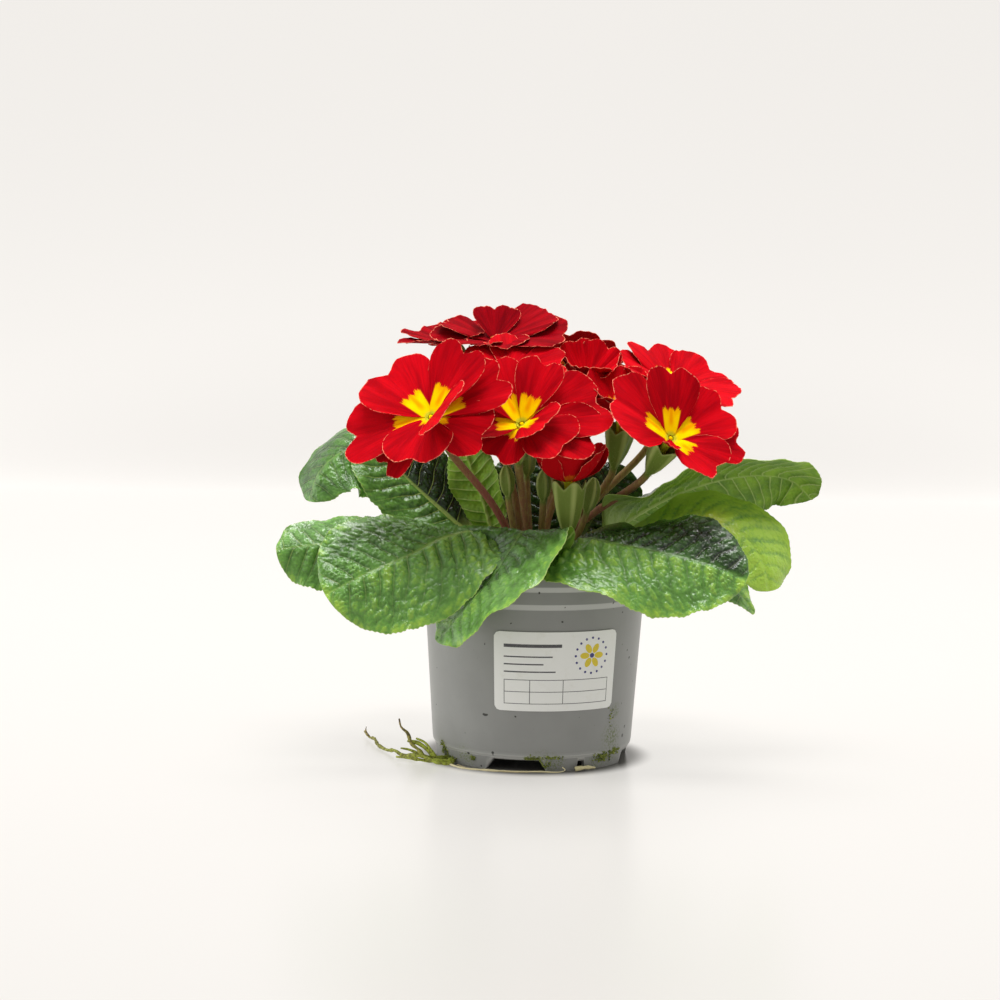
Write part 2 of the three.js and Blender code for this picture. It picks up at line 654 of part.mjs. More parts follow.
const STRAY_ROOTS = {
  root_long: {
    radius: 0.9,
    path: [[-36.1, -19.3, 1.2], [-41, -21.9, 1.2], [-46, -23.5, 1.2], [-52, -22, 1.2], [-60, -16, 1.2],
      [-67, -6, 1.2], [-72, 6, 1.2], [-75, 18, 1.3], [-80, 34, 1.6]],
  },
  root_short: {
    radius: 0.9,
    path: [[-35.3, -28.5, 1.2], [-39, -30.5, 1.3], [-44, -30.5, 1.4], [-49, -29.5, 3], [-53, -28, 7],
      [-57, -25, 13], [-61, -22, 19]],
  },
  root_fine: {
    radius: 0.6,
    path: [[-38, -38, 0.8], [-28, -44.5, 0.8], [-12, -47.8, 0.8], [3, -47.8, 0.8], [12, -46.5, 0.8],
      [12.3, -43.9, 0.8]],
  },
};

function rootGeometry({ path, radius }) {
  const curve = new THREE.CatmullRomCurve3(path.map((p) => vec(...p)));
  const section = new THREE.Shape(Array.from({ length: ROOT_SIDES }, (_, i) => {
    const a = 2 * Math.PI * i / ROOT_SIDES;
    return new THREE.Vector2(radius * Math.cos(a), radius * Math.sin(a));
  }));
  return new THREE.ExtrudeGeometry(section, { steps: ROOT_STEPS, bevelEnabled: false, extrudePath: curve });
}

// ---------------------------------------------------------------- assembly

makePot();
makeLabel();
makeSoil([
  ...Object.values(LEAVES).map(({ path }) => ({ at: path[0], radius: PETIOLE_HOLE })),
  ...Object.values(BLOOMS).map(({ root }) => ({ at: root, radius: PEDICEL_HOLE })),
  ...Object.values(BUDS).map(({ root }) => ({ at: root, radius: PEDICEL_HOLE })),
]);
for (const [name, leaf] of Object.entries(LEAVES)) {
  add(name, leafGeometry(leaf), LEAF_GREEN);
}
for (const [name, bloom] of Object.entries(BLOOMS)) {
  const placed = { ...bloom, eye: vec(...bloom.eye), axes: bloomAxes(bloom.facing) };
  add(`${name}_petals`, corollaGeometry(placed), PETAL_RED);
  add(`${name}_stem`, stemGeometry(placed), STEM_GREEN);
}
for (const [name, bud] of Object.entries(BUDS)) {
  add(name, budGeometry(bud), STEM_GREEN);
}
for (const [name, root] of Object.entries(STRAY_ROOTS)) {
  add(name, rootGeometry(root), ROOT_BROWN);
}

export default group;
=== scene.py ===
"""A red primrose in a grey nursery pot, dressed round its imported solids.

The builders work in millimetres and the meshes are in metres. The origin is the middle of the pot's
foot, -Y is the side with the label, and azimuths run from -Y towards +X.
"""

import logging
import math
from collections.abc import Callable
from dataclasses import dataclass, field
from enum import Enum
from functools import partial

import bpy
import numpy as np
from mathutils import Matrix, Vector


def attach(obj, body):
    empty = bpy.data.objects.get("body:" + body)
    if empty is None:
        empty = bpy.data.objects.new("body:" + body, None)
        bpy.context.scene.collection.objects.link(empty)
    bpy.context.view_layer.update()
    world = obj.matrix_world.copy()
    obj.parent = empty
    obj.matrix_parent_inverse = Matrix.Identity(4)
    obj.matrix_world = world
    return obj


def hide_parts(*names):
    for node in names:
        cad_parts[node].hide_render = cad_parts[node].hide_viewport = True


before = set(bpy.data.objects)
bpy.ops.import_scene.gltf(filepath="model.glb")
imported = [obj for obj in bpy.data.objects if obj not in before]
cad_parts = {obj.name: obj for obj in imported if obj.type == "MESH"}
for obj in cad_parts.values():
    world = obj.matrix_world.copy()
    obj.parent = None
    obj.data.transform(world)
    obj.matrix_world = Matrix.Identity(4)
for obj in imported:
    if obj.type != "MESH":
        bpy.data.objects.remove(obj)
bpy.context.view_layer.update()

LOG = logging.getLogger("primrose")
Array = np.ndarray
Fields = dict[str, Array]
Point = tuple[float, float, float]
Span = tuple[float, float]

MM = 0.001
PER_MM = 1000.0
ROOT_BODY = "root"
UP = np.array([0.0, 0.0, 1.0])
X_AXIS = np.array([1.0, 0.0, 0.0])
SOIL_TOP = 84.0  # mm; stems and stalks stand in the soil by ROOT_DEPTH
ROOT_DEPTH = 6.0


# ---------------- numbers and curves


def smoothstep(x: Array, low: float, high: float) -> Array:
    """A smooth climb from 0 at low to 1 at high: t squared times (3 - 2t)."""
    t = np.clip((np.asarray(x, float) - low) / (high - low), 0.0, 1.0)
    return t * t * (3.0 - 2.0 * t)


def mix(a: Array, b: Array, share: Array) -> Array:
    """The value a share of the way from a to b."""
    return a + (b - a) * share


def unit(vectors: Array) -> Array:
    """Vectors brought to length 1."""
    return vectors / np.maximum(np.linalg.norm(vectors, axis=-1, keepdims=True), 1e-9)


def lattice(ix: Array, iy: Array, seed: int) -> Array:
    """A fixed number between 0 and 1 for each whole-numbered place."""
    n = np.sin(ix * 127.1 + iy * 311.7 + seed * 74.7) * 43758.5453
    return n - np.floor(n)


def value_noise(x: Array, y: Array, seed: int = 0) -> Array:
    """Smooth noise: lattice numbers blended with a smoothstep in x and in y.

    Args:
        x: the place in one direction, in units of the noise's width.
        y: the place in the other.
        seed: picks the numbers.

    Returns:
        Values from -1 to 1.
    """
    ix, iy = np.floor(x), np.floor(y)
    fx, fy = smoothstep(x - ix, 0, 1), smoothstep(y - iy, 0, 1)
    low = mix(lattice(ix, iy, seed), lattice(ix + 1, iy, seed), fx)
    high = mix(lattice(ix, iy + 1, seed), lattice(ix + 1, iy + 1, seed), fx)
    return 2.0 * mix(low, high, fy) - 1.0


def cell_walls(x: Array, y: Array, seed: int) -> Array:
    """How far each place is from the walls between scattered cells about 1 wide: the distance to the
    second nearest cell centre less the distance to the nearest.

    Args:
        x: the place in one direction.
        y: the place in the other.
        seed: picks where the centres lie.

    Returns:
        The distances, 0 on a wall.
    """
    ix, iy = np.floor(x), np.floor(y)
    away = []
    for i in (-1, 0, 1):
        for j in (-1, 0, 1):
            cx = ix + i + lattice(ix + i, iy + j, seed)
            cy = iy + j + lattice(ix + i, iy + j, seed + 31)
            away.append(np.hypot(cx - x, cy - y))
    near = np.sort(np.stack(away), axis=0)
    return near[1] - near[0]


def polar(azimuth: Array, radius: Array, z: Array) -> Array:
    """Points at azimuths in degrees, measured from -Y towards +X: (r sin a, -r cos a, z)."""
    a = np.radians(azimuth)
    return np.stack(np.broadcast_arrays(radius * np.sin(a), -radius * np.cos(a), z), -1)


def layers(*parts: Array) -> Array:
    """Arrays spread to one shape and stacked as the parts of vectors."""
    return np.stack(np.broadcast_arrays(*parts), -1)


def square_to(way: Array) -> tuple[Array, Array]:
    """Two unit directions square to unit ways: X less its part along the way, and their cross."""
    x = unit(X_AXIS - way * way[..., :1])
    return x, np.cross(way, x)


def around(x: Array, y: Array, sides: int) -> Array:
    """Unit ways round a ring, at even angles from x towards y: cos a times x plus sin a times y."""
    turn = (2 * np.pi * np.arange(sides) / sides)[:, None]
    return np.cos(turn) * x[..., None, :] + np.sin(turn) * y[..., None, :]


@dataclass(frozen=True)
class Course:
    """A smooth line through space, read by the share of its length."""

    points: Array
    lengths: Array

    @classmethod
    def of(cls, points: Array) -> "Course":
        """A course along closely spaced points."""
        steps = np.linalg.norm(np.diff(points, axis=0), axis=1)
        return cls(points, np.concatenate([[0.0], np.cumsum(steps)]))

    @classmethod
    def through(cls, stops: Array, fine: int = 40) -> "Course":
        """A course through given stops.

        Centripetal Catmull-Rom: between two stops a cubic Hermite curve, its tangents from the
        neighbours, weighted by the square root of the distances.

        Args:
            stops: the points it passes, one row each.
            fine: samples between two stops.

        Returns:
            The course.
        """
        stops = np.asarray(stops, float)
        ends = np.vstack([2 * stops[0] - stops[1], stops, 2 * stops[-1] - stops[-2]])
        a, b, c, d = ends[:-3], ends[1:-2], ends[2:-1], ends[3:]
        g0, g1, g2 = (np.sqrt(np.linalg.norm(q - p, axis=1, keepdims=True))
                      for p, q in ((a, b), (b, c), (c, d)))
        start = g1 * ((b - a) / g0 - (c - a) / (g0 + g1) + (c - b) / g1)
        end = g1 * ((c - b) / g1 - (d - b) / (g1 + g2) + (d - c) / g2)
        t = (np.arange(fine) / fine)[None, :, None]
        b, c, start, end = b[:, None], c[:, None], start[:, None], end[:, None]
        square, cube = 3 * (c - b) - 2 * start - end, 2 * (b - c) + start + end
        curve = b + start * t + square * t**2 + cube * t**3
        return cls.of(np.vstack([curve.reshape(-1, 3), stops[-1:]]))

    @classmethod
    def bezier(cls, a: Array, b: Array, c: Array, d: Array, fine: int = 160) -> "Course":
        """A cubic Bezier course.

        Args:
            a: where it starts.
            b: what pulls its start.
            c: what pulls its end.
            d: where it ends.
            fine: points along it.

        Returns:
            The course.
        """
        t = np.linspace(0, 1, fine)[:, None]
        s = 1 - t
        return cls.of(s**3 * a + 3 * s**2 * t * b + 3 * s * t**2 * c + t**3 * d)

    @property
    def length(self) -> float:
        """The whole length."""
        return float(self.lengths[-1])

    def at(self, share: Array) -> Array:
        """Points at shares of the length."""
        want = np.asarray(share, float) * self.length
        return np.stack([np.interp(want, self.lengths, self.points[:, k]) for k in range(3)], -1)

    def tangent(self, share: Array, reach: float = 0.012) -> Array:
        """Directions at shares of the length, from points a little before and after."""
        share = np.asarray(share, float)
        return unit(self.at(np.clip(share + reach, 0, 1)) - self.at(np.clip(share - reach, 0, 1)))


# ---------------- closed skins


@dataclass
class Skin:
    """A closed skin: points in mm, faces by their points' numbers, fields for the materials, and for
    each point the number of the sharp rim that it lies on, or 0."""

    points: Array
    quads: Array
    tris: Array
    fields: Fields = field(default_factory=dict)
    rim: Array | None = None

    def outward(self) -> "Skin":
        """The skin with its faces turned so that the volume it closes is positive.

        Returns:
            The skin, with a rim number for every point.
        """
        quads, tris = self.quads.reshape(-1, 4), self.tris.reshape(-1, 3)
        both = np.vstack([quads[:, :3], quads[:, [0, 2, 3]], tris])
        a, b, c = (self.points[both[:, k]] for k in range(3))
        if np.einsum("ij,ij->", a, np.cross(b, c)) < 0:
            quads, tris = quads[:, ::-1], tris[:, ::-1]
        rim = np.zeros(len(self.points), np.int32) if self.rim is None else self.rim
        return Skin(self.points, quads, tris, self.fields, rim)


NO_TRIS = np.empty((0, 3), np.int32)


def grid_quads(rows: int, columns: int, wrap: bool = False) -> Array:
    """The quads between neighbours of a grid.

    Args:
        rows: its rows of points.
        columns: points in a row.
        wrap: joins the last column to the first.

    Returns:
        Four points' numbers for each quad.
    """
    last = columns if wrap else columns - 1
    i, j = np.meshgrid(np.arange(rows - 1), np.arange(last), indexing="ij")
    k = (j + 1) % columns
    row, below = i * columns, (i + 1) * columns
    return np.stack([row + j, row + k, below + k, below + j], -1).reshape(-1, 4).astype(np.int32)


def closed_sheet(top: Array, bottom: Array, fields: dict[str, tuple[Array, Array]]) -> Skin:
    """A closed sheet between two grids of the same size, with a sharp rim round each.

    Args:
        top: the upper points, rows x columns x 3.
        bottom: the lower points.
        fields: for each name its values on the upper and the lower grid.

    Returns:
        The skin.
    """
    rows, columns = top.shape[:2]
    count = rows * columns
    faces = grid_quads(rows, columns)
    across, down = np.arange(columns), np.arange(1, rows) * columns
    loop = np.concatenate([
        across,
        down + columns - 1,
        across[-2::-1] + (rows - 1) * columns,
        down[-2::-1],
    ]).astype(np.int32)
    following = np.roll(loop, -1)
    edge = np.stack([following, loop, loop + count, following + count], -1)
    rim = np.zeros(2 * count, np.int32)
    rim[loop], rim[loop + count] = 1, 2
    return Skin(
        np.vstack([top.reshape(-1, 3), bottom.reshape(-1, 3)]),
        np.vstack([faces, faces[:, ::-1] + count, edge]),
        NO_TRIS,
        {name: np.vstack([a.reshape(-1, 3), b.reshape(-1, 3)]) for name, (a, b) in fields.items()},
        rim,
    ).outward()


def closed_loft(rings: Array, fields: Fields | None = None) -> Skin:
    """A closed skin through rings of points, its two ends closed by fans to their middles.

    Args:
        rings: the points, rings x sides x 3.
        fields: values on the same grid.

    Returns:
        The skin.
    """
    count, sides = rings.shape[:2]
    points = np.vstack([rings.reshape(-1, 3), rings[0].mean(0), rings[-1].mean(0)])
    i = np.arange(sides)
    following, last = (i + 1) % sides, (count - 1) * sides
    fans = [
        np.stack([np.full(sides, count * sides), following, i], -1),
        np.stack([np.full(sides, count * sides + 1), last + i, last + following], -1),
    ]
    spread = {
        name: np.vstack([v.reshape(-1, 3), v[0].mean(0), v[-1].mean(0)])
        for name, v in (fields or {}).items()
    }
    quads, tris = grid_quads(count, sides, wrap=True), np.vstack(fans).astype(np.int32)
    return Skin(points, quads, tris, spread).outward()


def repeated(shapes: Array, pattern: list[list[int]], fields: Fields | None) -> Skin:
    """Many small solids of one pattern in one skin.

    Args:
        shapes: the points of each solid, solids x points x 3.
        pattern: the triangles of one solid, by its points' numbers.
        fields: one row of values for each solid.

    Returns:
        The skin.
    """
    count, corners = shapes.shape[:2]
    tris = (np.arange(count)[:, None, None] * corners + np.array(pattern)).reshape(-1, 3).astype(np.int32)
    spread = {name: np.repeat(v, corners, axis=0) for name, v in (fields or {}).items()}
    return Skin(shapes.reshape(-1, 3), np.empty((0, 4), np.int32), tris, spread).outward()


def spikes(roots: Array, ways: Array, length: Array, radius: float, fields: Fields | None = None) -> Skin:
    """Many three-sided spikes: a triangle round each root, its corners 120 degrees apart, and a tip.

    Args:
        roots: where they stand, one row each.
        ways: unit directions.
        length: their lengths.
        radius: the triangle's radius.
        fields: one row of values for each spike.

    Returns:
        The skin.
    """
    aside = unit(np.cross(ways, np.where(np.abs(ways[:, 2:]) < 0.9, UP, X_AXIS)))
    feet = roots[:, None] + radius * around(aside, np.cross(ways, aside), 3)
    tips = roots + ways * np.asarray(length)[:, None]
    points = np.concatenate([feet, tips[:, None]], 1)
    return repeated(points, [[0, 2, 1], [0, 1, 3], [1, 2, 3], [2, 0, 3]], fields)


def lumps(centres: Array, sizes: Array, seed: int, fields: Fields | None = None) -> Skin:
    """Many crumbs: eight-sided lumps whose six corners lie at uneven distances from their middles.

    Args:
        centres: one row each.
        sizes: radius of each along the three axes.
        seed: draws the unevenness.
        fields: one row of values for each lump.

    Returns:
        The skin.
    """
    random = np.random.default_rng(seed)
    corners = np.array([X_AXIS, [0, 1, 0], -X_AXIS, [0, -1, 0], UP, -UP])
    turn = random.uniform(0, 2 * np.pi, len(centres))
    uneven = random.uniform(0.6, 1.25, (len(centres), 6, 1))
    shape = corners[None] * uneven * sizes[:, None, :]
    c, s = np.cos(turn)[:, None], np.sin(turn)[:, None]
    x, y = shape[..., 0] * c - shape[..., 1] * s, shape[..., 0] * s + shape[..., 1] * c
    points = centres[:, None] + layers(x, y, shape[..., 2])
    upper, lower = ([[k, (k + 1) % 4, 4] for k in range(4)], [[(k + 1) % 4, k, 5] for k in range(4)])
    return repeated(points, upper + lower, fields)


def tube(course: Course, radius: Array, shares: Array, sides: int, fields: Fields | None = None) -> Skin:
    """A closed tube along a course: rings square to it at shares of its length.

    Args:
        course: the line that it follows.
        radius: one radius for each share.
        shares: where the rings stand.
        sides: points in a ring.
        fields: one row of values for each share.

    Returns:
        The skin.
    """
    centre, tangent = course.at(shares), course.tangent(shares)
    x = unit(np.cross(tangent, np.where(np.abs(tangent[:, 2:]) < 0.8, UP, X_AXIS)))
    ways = around(x, np.cross(tangent, x), sides)
    rings = centre[:, None] + ways * np.asarray(radius)[:, None, None]
    spread = {n: np.repeat(v[:, None], sides, axis=1) for n, v in (fields or {}).items()}
    return closed_loft(rings, spread)


def place_object(name: str, data: bpy.types.ID) -> bpy.types.Object:
    """An object with its data, linked into the scene.

    Args:
        name: its name.
        data: its mesh, camera or light.

    Returns:
        The object.
    """
    made = bpy.data.objects.new(name, data)
    bpy.context.scene.collection.objects.link(made)
    return made


def make_piece(name: str, skins: list[Skin], finish: "Finish", node: str) -> bpy.types.Object:
    """Joins skins into one mesh, dresses it and ties it to the frame.

    Args:
        name: the piece's name.
        skins: its closed skins; a field that one lacks is 0 there.
        finish: what it is made of.
        node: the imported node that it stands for.

    Returns:
        The object, at the origin.
    """
    starts = np.cumsum([0] + [len(s.points) for s in skins])
    quads = np.vstack([s.quads + n for s, n in zip(skins, starts)]).astype(np.int32)
    tris = np.vstack([s.tris + n for s, n in zip(skins, starts)]).astype(np.int32)
    points = np.vstack([s.points for s in skins]) * MM
    mesh = bpy.data.meshes.new(name)
    mesh.vertices.add(len(points))
    mesh.vertices.foreach_set("co", points.astype(np.float32).ravel())
    corners = np.concatenate([quads.ravel(), tris.ravel()])
    begins = np.concatenate([4 * np.arange(len(quads)), 4 * len(quads) + 3 * np.arange(len(tris))])
    mesh.loops.add(len(corners))
    mesh.loops.foreach_set("vertex_index", corners.astype(np.int32))
    mesh.polygons.add(len(begins))
    mesh.polygons.foreach_set("loop_start", begins.astype(np.int32))
    mesh.polygons.foreach_set("use_smooth", np.ones(len(begins), bool))
    mesh.update(calc_edges=True)
    rim = np.concatenate([s.rim for s in skins])
    ends = np.empty(2 * len(mesh.edges), np.int32)
    mesh.edges.foreach_get("vertices", ends)
    pairs = rim[ends.reshape(-1, 2)]
    mesh.edges.foreach_set("use_edge_sharp", (pairs[:, 0] > 0) & (pairs[:, 0] == pairs[:, 1]))
    for key in sorted({k for s in skins for k in s.fields}):
        values = np.vstack([s.fields.get(key, np.zeros((len(s.points), 3))) for s in skins])
        attribute = mesh.attributes.new(key, "FLOAT_VECTOR", "POINT")
        attribute.data.foreach_set("vector", values.astype(np.float32).ravel())
    mesh.materials.append(finish.material())
    piece = place_object(name, mesh)
    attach(piece, ROOT_BODY)
    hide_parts(node)
    LOG.info("%s: %d triangles", name, 2 * len(quads) + len(tris))
    return piece


# ---------------- node trees


Feed = bpy.types.Node | bpy.types.NodeSocket | Vector | tuple | float | str
Adder = Callable[..., bpy.types.Node]


class Kind(Enum):
    """The kinds of node that the finishes are made of, each with the settings that it always has."""

    RAMP = "MapRange", {"interpolation_type": "SMOOTHSTEP"}
    BLEND = "Mix", {"data_type": "RGBA"}
    TIMES = "Math", {"operation": "MULTIPLY"}
    PLUS = "Math", {"operation": "ADD"}
    LESS = "Math", {"operation": "SUBTRACT"}
    GREATER = "Math", {"operation": "MAXIMUM"}
    LOWER = "Math", {"operation": "MINIMUM"}
    SQUARE_ROOT = "Math", {"operation": "SQRT"}
    ANGLE = "Math", {"operation": "ARCTAN2"}
    SIZE = "Math", {"operation": "ABSOLUTE"}
    TO_NEAREST = "Math", {"operation": "PINGPONG"}
    DISTANCE = "VectorMath", {"operation": "DISTANCE"}
    LENGTH = "VectorMath", {"operation": "LENGTH"}
    VECTOR = "CombineXYZ", {}
    PARTS = "SeparateXYZ", {}
    STRETCH = "Mapping", {}
    PLACE = "TexCoord", {}
    FACING = "NewGeometry", {}
    FIELD = "Attribute", {}
    NOISE = "TexNoise", {}
    PITS = "TexVoronoi", {"feature": "SMOOTH_F1"}
    TONES = "ValToRGB", {}
    BUMP = "Bump", {}
    SURFACE = "BsdfPrincipled", {}
    LIGHT = "Background", {}
    MATERIAL = "OutputMaterial", {}
    WORLD = "OutputWorld", {}


def colour(hex_code: str) -> tuple[float, float, float, float]:
    """An sRGB hex value as a linear colour."""
    parts = [int(hex_code[k : k + 2], 16) / 255 for k in (1, 3, 5)]
    return (*(c / 12.92 if c <= 0.04045 else ((c + 0.055) / 1.055) ** 2.4 for c in parts), 1.0)


def add_node(tree: bpy.types.NodeTree, kind: Kind, *feeds: Feed,
             named: dict[str, Feed] | None = None, **settings: object) -> bpy.types.Node:
    """Adds a node with its settings, values and links.

    Args:
        tree: the node tree.
        kind: what the node does.
        feeds: what goes into its open inputs, in their order: a number, a hex colour, a vector, a
            socket, or a node, which stands for its first open output.
        named: what goes into inputs by name.
        settings: the node's own properties.

    Returns:
        The node.
    """
    word, always = kind.value
    node = tree.nodes.new(f"ShaderNode{word}")
    for name, setting in {**always, **settings}.items():
        setattr(node, name, setting)
    pairs = [*zip([socket for socket in node.inputs if socket.enabled], feeds)]
    pairs += [(node.inputs[name], feed) for name, feed in (named or {}).items()]
    for socket, feed in pairs:
        if isinstance(feed, bpy.types.Node):
            feed = next(output for output in feed.outputs if output.enabled)
        if isinstance(feed, bpy.types.NodeSocket):
            tree.links.new(feed, socket)
        else:
            socket.default_value = colour(feed) if isinstance(feed, str) else feed
    return node


@dataclass(frozen=True)
class Finish:
    """What a piece is made of. Each finish works out what goes into its surface shader from its
    fields: hex colours, and the sizes of its patterns in mm."""

    title: str

    OCTAVE = 0.55  # how much of each coarser layer of noise the next finer one keeps

    def material(self) -> bpy.types.Material:
        """The finish as a material, made once.

        Returns:
            The material.
        """
        made = bpy.data.materials.get(self.title)
        if made is None:
            made = bpy.data.materials.new(self.title)
            made.use_nodes = True
            made.node_tree.nodes.clear()
            node = partial(add_node, made.node_tree)
            node(Kind.MATERIAL, node(Kind.SURFACE, named=self.surface(node)))
        return made

    def surface(self, node: Adder) -> dict[str, Feed]:
        """What goes into the surface shader; each finish has its own."""
        raise NotImplementedError


# ---------------- finishes


@dataclass(frozen=True)
class PottedPolypropylene(Finish):
    """Injection-moulded grey polypropylene: satin, faintly mottled, with scuffs, a painted highlight on
    its ledges and a film of algae that gathers in patches near the foot.

    algae: azimuth in degrees, height in mm and radius in mm of each patch. scuffs: the same of each
    dark nick. radius: of the pot where they lie.
    """

    base: str = "#868784"
    pale: str = "#8f908d"
    film: str = "#6c7550"
    nick: str = "#33332f"
    # the paler grey painted on the ledges as a highlight
    wear_and_highlight: str = "#c9cac6"
    algae: tuple[Point, ...] = ()
    scuffs: tuple[Point, ...] = ()
    radius: float = 46.0
    cloud_size: float = 16.0
    fleck_size: float = 0.9
    speck_size: float = 2.4
    mould_grain: float = 0.6
    satin: float = 0.38
    furred: float = 0.9
    ior: float = 1.49

    def spots(self, node: Adder, where: Feed, spots: tuple[Point, ...], soft: float) -> Feed:
        """1 in the middle of any spot, falling smoothly to 0 by its radius.

        Args:
            node: adds a node.
            where: the place on the piece.
            spots: azimuth, height and radius of each.
            soft: the share of its radius within which a spot is whole.

        Returns:
            The greatest of all the spots.
        """
        found: Feed = 0.0
        for azimuth, z, radius in spots:
            away = node(Kind.DISTANCE, where, Vector(polar(azimuth, self.radius, z) * MM))
            near = node(Kind.RAMP, away, radius * MM, radius * MM * soft)
            found = node(Kind.GREATER, found, near)
        return found

    def surface(self, node: Adder) -> dict[str, Feed]:
        """Satin grey with cloudy mottling, algae in 0.9 mm flecks and a fine mould grain.

        Args:
            node: adds a node.

        Returns:
            The surface shader's inputs.
        """
        where = node(Kind.PLACE).outputs["Object"]
        cloudy = node(Kind.NOISE, where, PER_MM / self.cloud_size, 3, self.OCTAVE)
        base = node(Kind.BLEND, node(Kind.RAMP, cloudy, 0.3, 0.7, 0, 0.5), self.base, self.pale)
        flecks = node(Kind.NOISE, where, PER_MM / self.fleck_size, 4, 0.7)
        patches = self.spots(node, where, self.algae, 0.15)
        film = node(Kind.TIMES, patches, node(Kind.RAMP, flecks, 0.46, 0.6))
        skin = node(Kind.BLEND, film, base, self.film)
        # A ledge is where the surface faces up or down, and there a paler grey is painted as a highlight.
        upright = node(Kind.PARTS, node(Kind.FACING).outputs["Normal"]).outputs["Z"]
        ledge_highlight = node(Kind.RAMP, node(Kind.SIZE, upright), 0.12, 0.32, 0, 0.6)
        skin = node(Kind.BLEND, ledge_highlight, skin, self.wear_and_highlight)
        specks = node(Kind.NOISE, where, PER_MM / self.speck_size, 0, self.OCTAVE)
        nicks = self.spots(node, where, self.scuffs, 0.6)
        nicks = node(Kind.GREATER, nicks, node(Kind.RAMP, specks, 0.83, 0.87))
        grain = node(Kind.NOISE, where, PER_MM / self.mould_grain, 2, self.OCTAVE)
        return {
            "Base Color": node(Kind.BLEND, nicks, skin, self.nick),
            "Roughness": node(Kind.RAMP, film, 0, 1, self.satin, self.furred),
            "IOR": self.ior,
            "Normal": node(Kind.BUMP, 0.35, 0.05 * MM, named={"Height": grain}),
        }


@dataclass(frozen=True)
class CoatedPaper(Finish):
    """White semi-gloss label paper, its face a little uneven over the pot, with fine dust on it."""

    base: str = "#e6e7e3"
    soiled: str = "#cfcdbf"
    dust_size: float = 6.0
    fibre: float = 0.8
    gloss: float = 0.38
    ior: float = 1.5

    def surface(self, node: Adder) -> dict[str, Feed]:
        """Near white, with soiled clouds 6 mm across and a fibre grain under the coating.

        Args:
            node: adds a node.

        Returns:
            The surface shader's inputs.
        """
        where = node(Kind.PLACE).outputs["Object"]
        soiled = node(Kind.RAMP, node(Kind.NOISE, where, PER_MM / self.dust_size, 6, 0.7), 0.52, 0.8, 0, 0.45)
        fibres = node(Kind.NOISE, where, PER_MM / self.fibre, 2, self.OCTAVE)
        return {
            "Base Color": node(Kind.BLEND, soiled, self.base, self.soiled),
            "Roughness": self.gloss,
            "IOR": self.ior,
            "Normal": node(Kind.BUMP, 0.3, 0.04 * MM, named={"Height": fibres}),
        }


@dataclass(frozen=True)
class PrintedInk(Finish):
    """Thermal print: a thin matt layer of one colour, worn through in places."""

    ink: str
    worn: str = "#b9b9b4"
    fleck_size: float = 0.5

    def surface(self, node: Adder) -> dict[str, Feed]:
        """The ink, paler where 0.5 mm flecks of it have rubbed off.

        Args:
            node: adds a node.

        Returns:
            The surface shader's inputs.
        """
        where = node(Kind.PLACE).outputs["Object"]
        flecks = node(Kind.NOISE, where, PER_MM / self.fleck_size, 3, self.OCTAVE)
        wear_and_highlight = node(Kind.RAMP, flecks, 0.6, 0.72, 0, 0.6)
        return {
            "Base Color": node(Kind.BLEND, wear_and_highlight, self.ink, self.worn), "Roughness": 0.5,
        }


@dataclass(frozen=True)
class DampPeat(Finish):
    """Peat with bark fibre, damp, so nearly black with paler brown crumbs."""

    dark: str = "#17110c"
    crumb: str = "#4a382a"
    crumb_size: float = 1.5
    fibre: float = 1.1

    def surface(self, node: Adder) -> dict[str, Feed]:
        """Dark brown with crumbs 1.5 mm across.

        Args:
            node: adds a node.

        Returns:
            The surface shader's inputs.
        """
        where = node(Kind.PLACE).outputs["Object"]
        crumbs = node(Kind.NOISE, where, PER_MM / self.crumb_size, 5, 0.7)
        fibres = node(Kind.NOISE, where, PER_MM / self.fibre, 5, 0.7)
        return {
            "Base Color": node(Kind.BLEND, node(Kind.RAMP, crumbs, 0.45, 0.75), self.dark, self.crumb),
            "Roughness": 0.95,
            "Normal": node(Kind.BUMP, 0.9, 0.5 * MM, named={"Height": fibres}),
        }


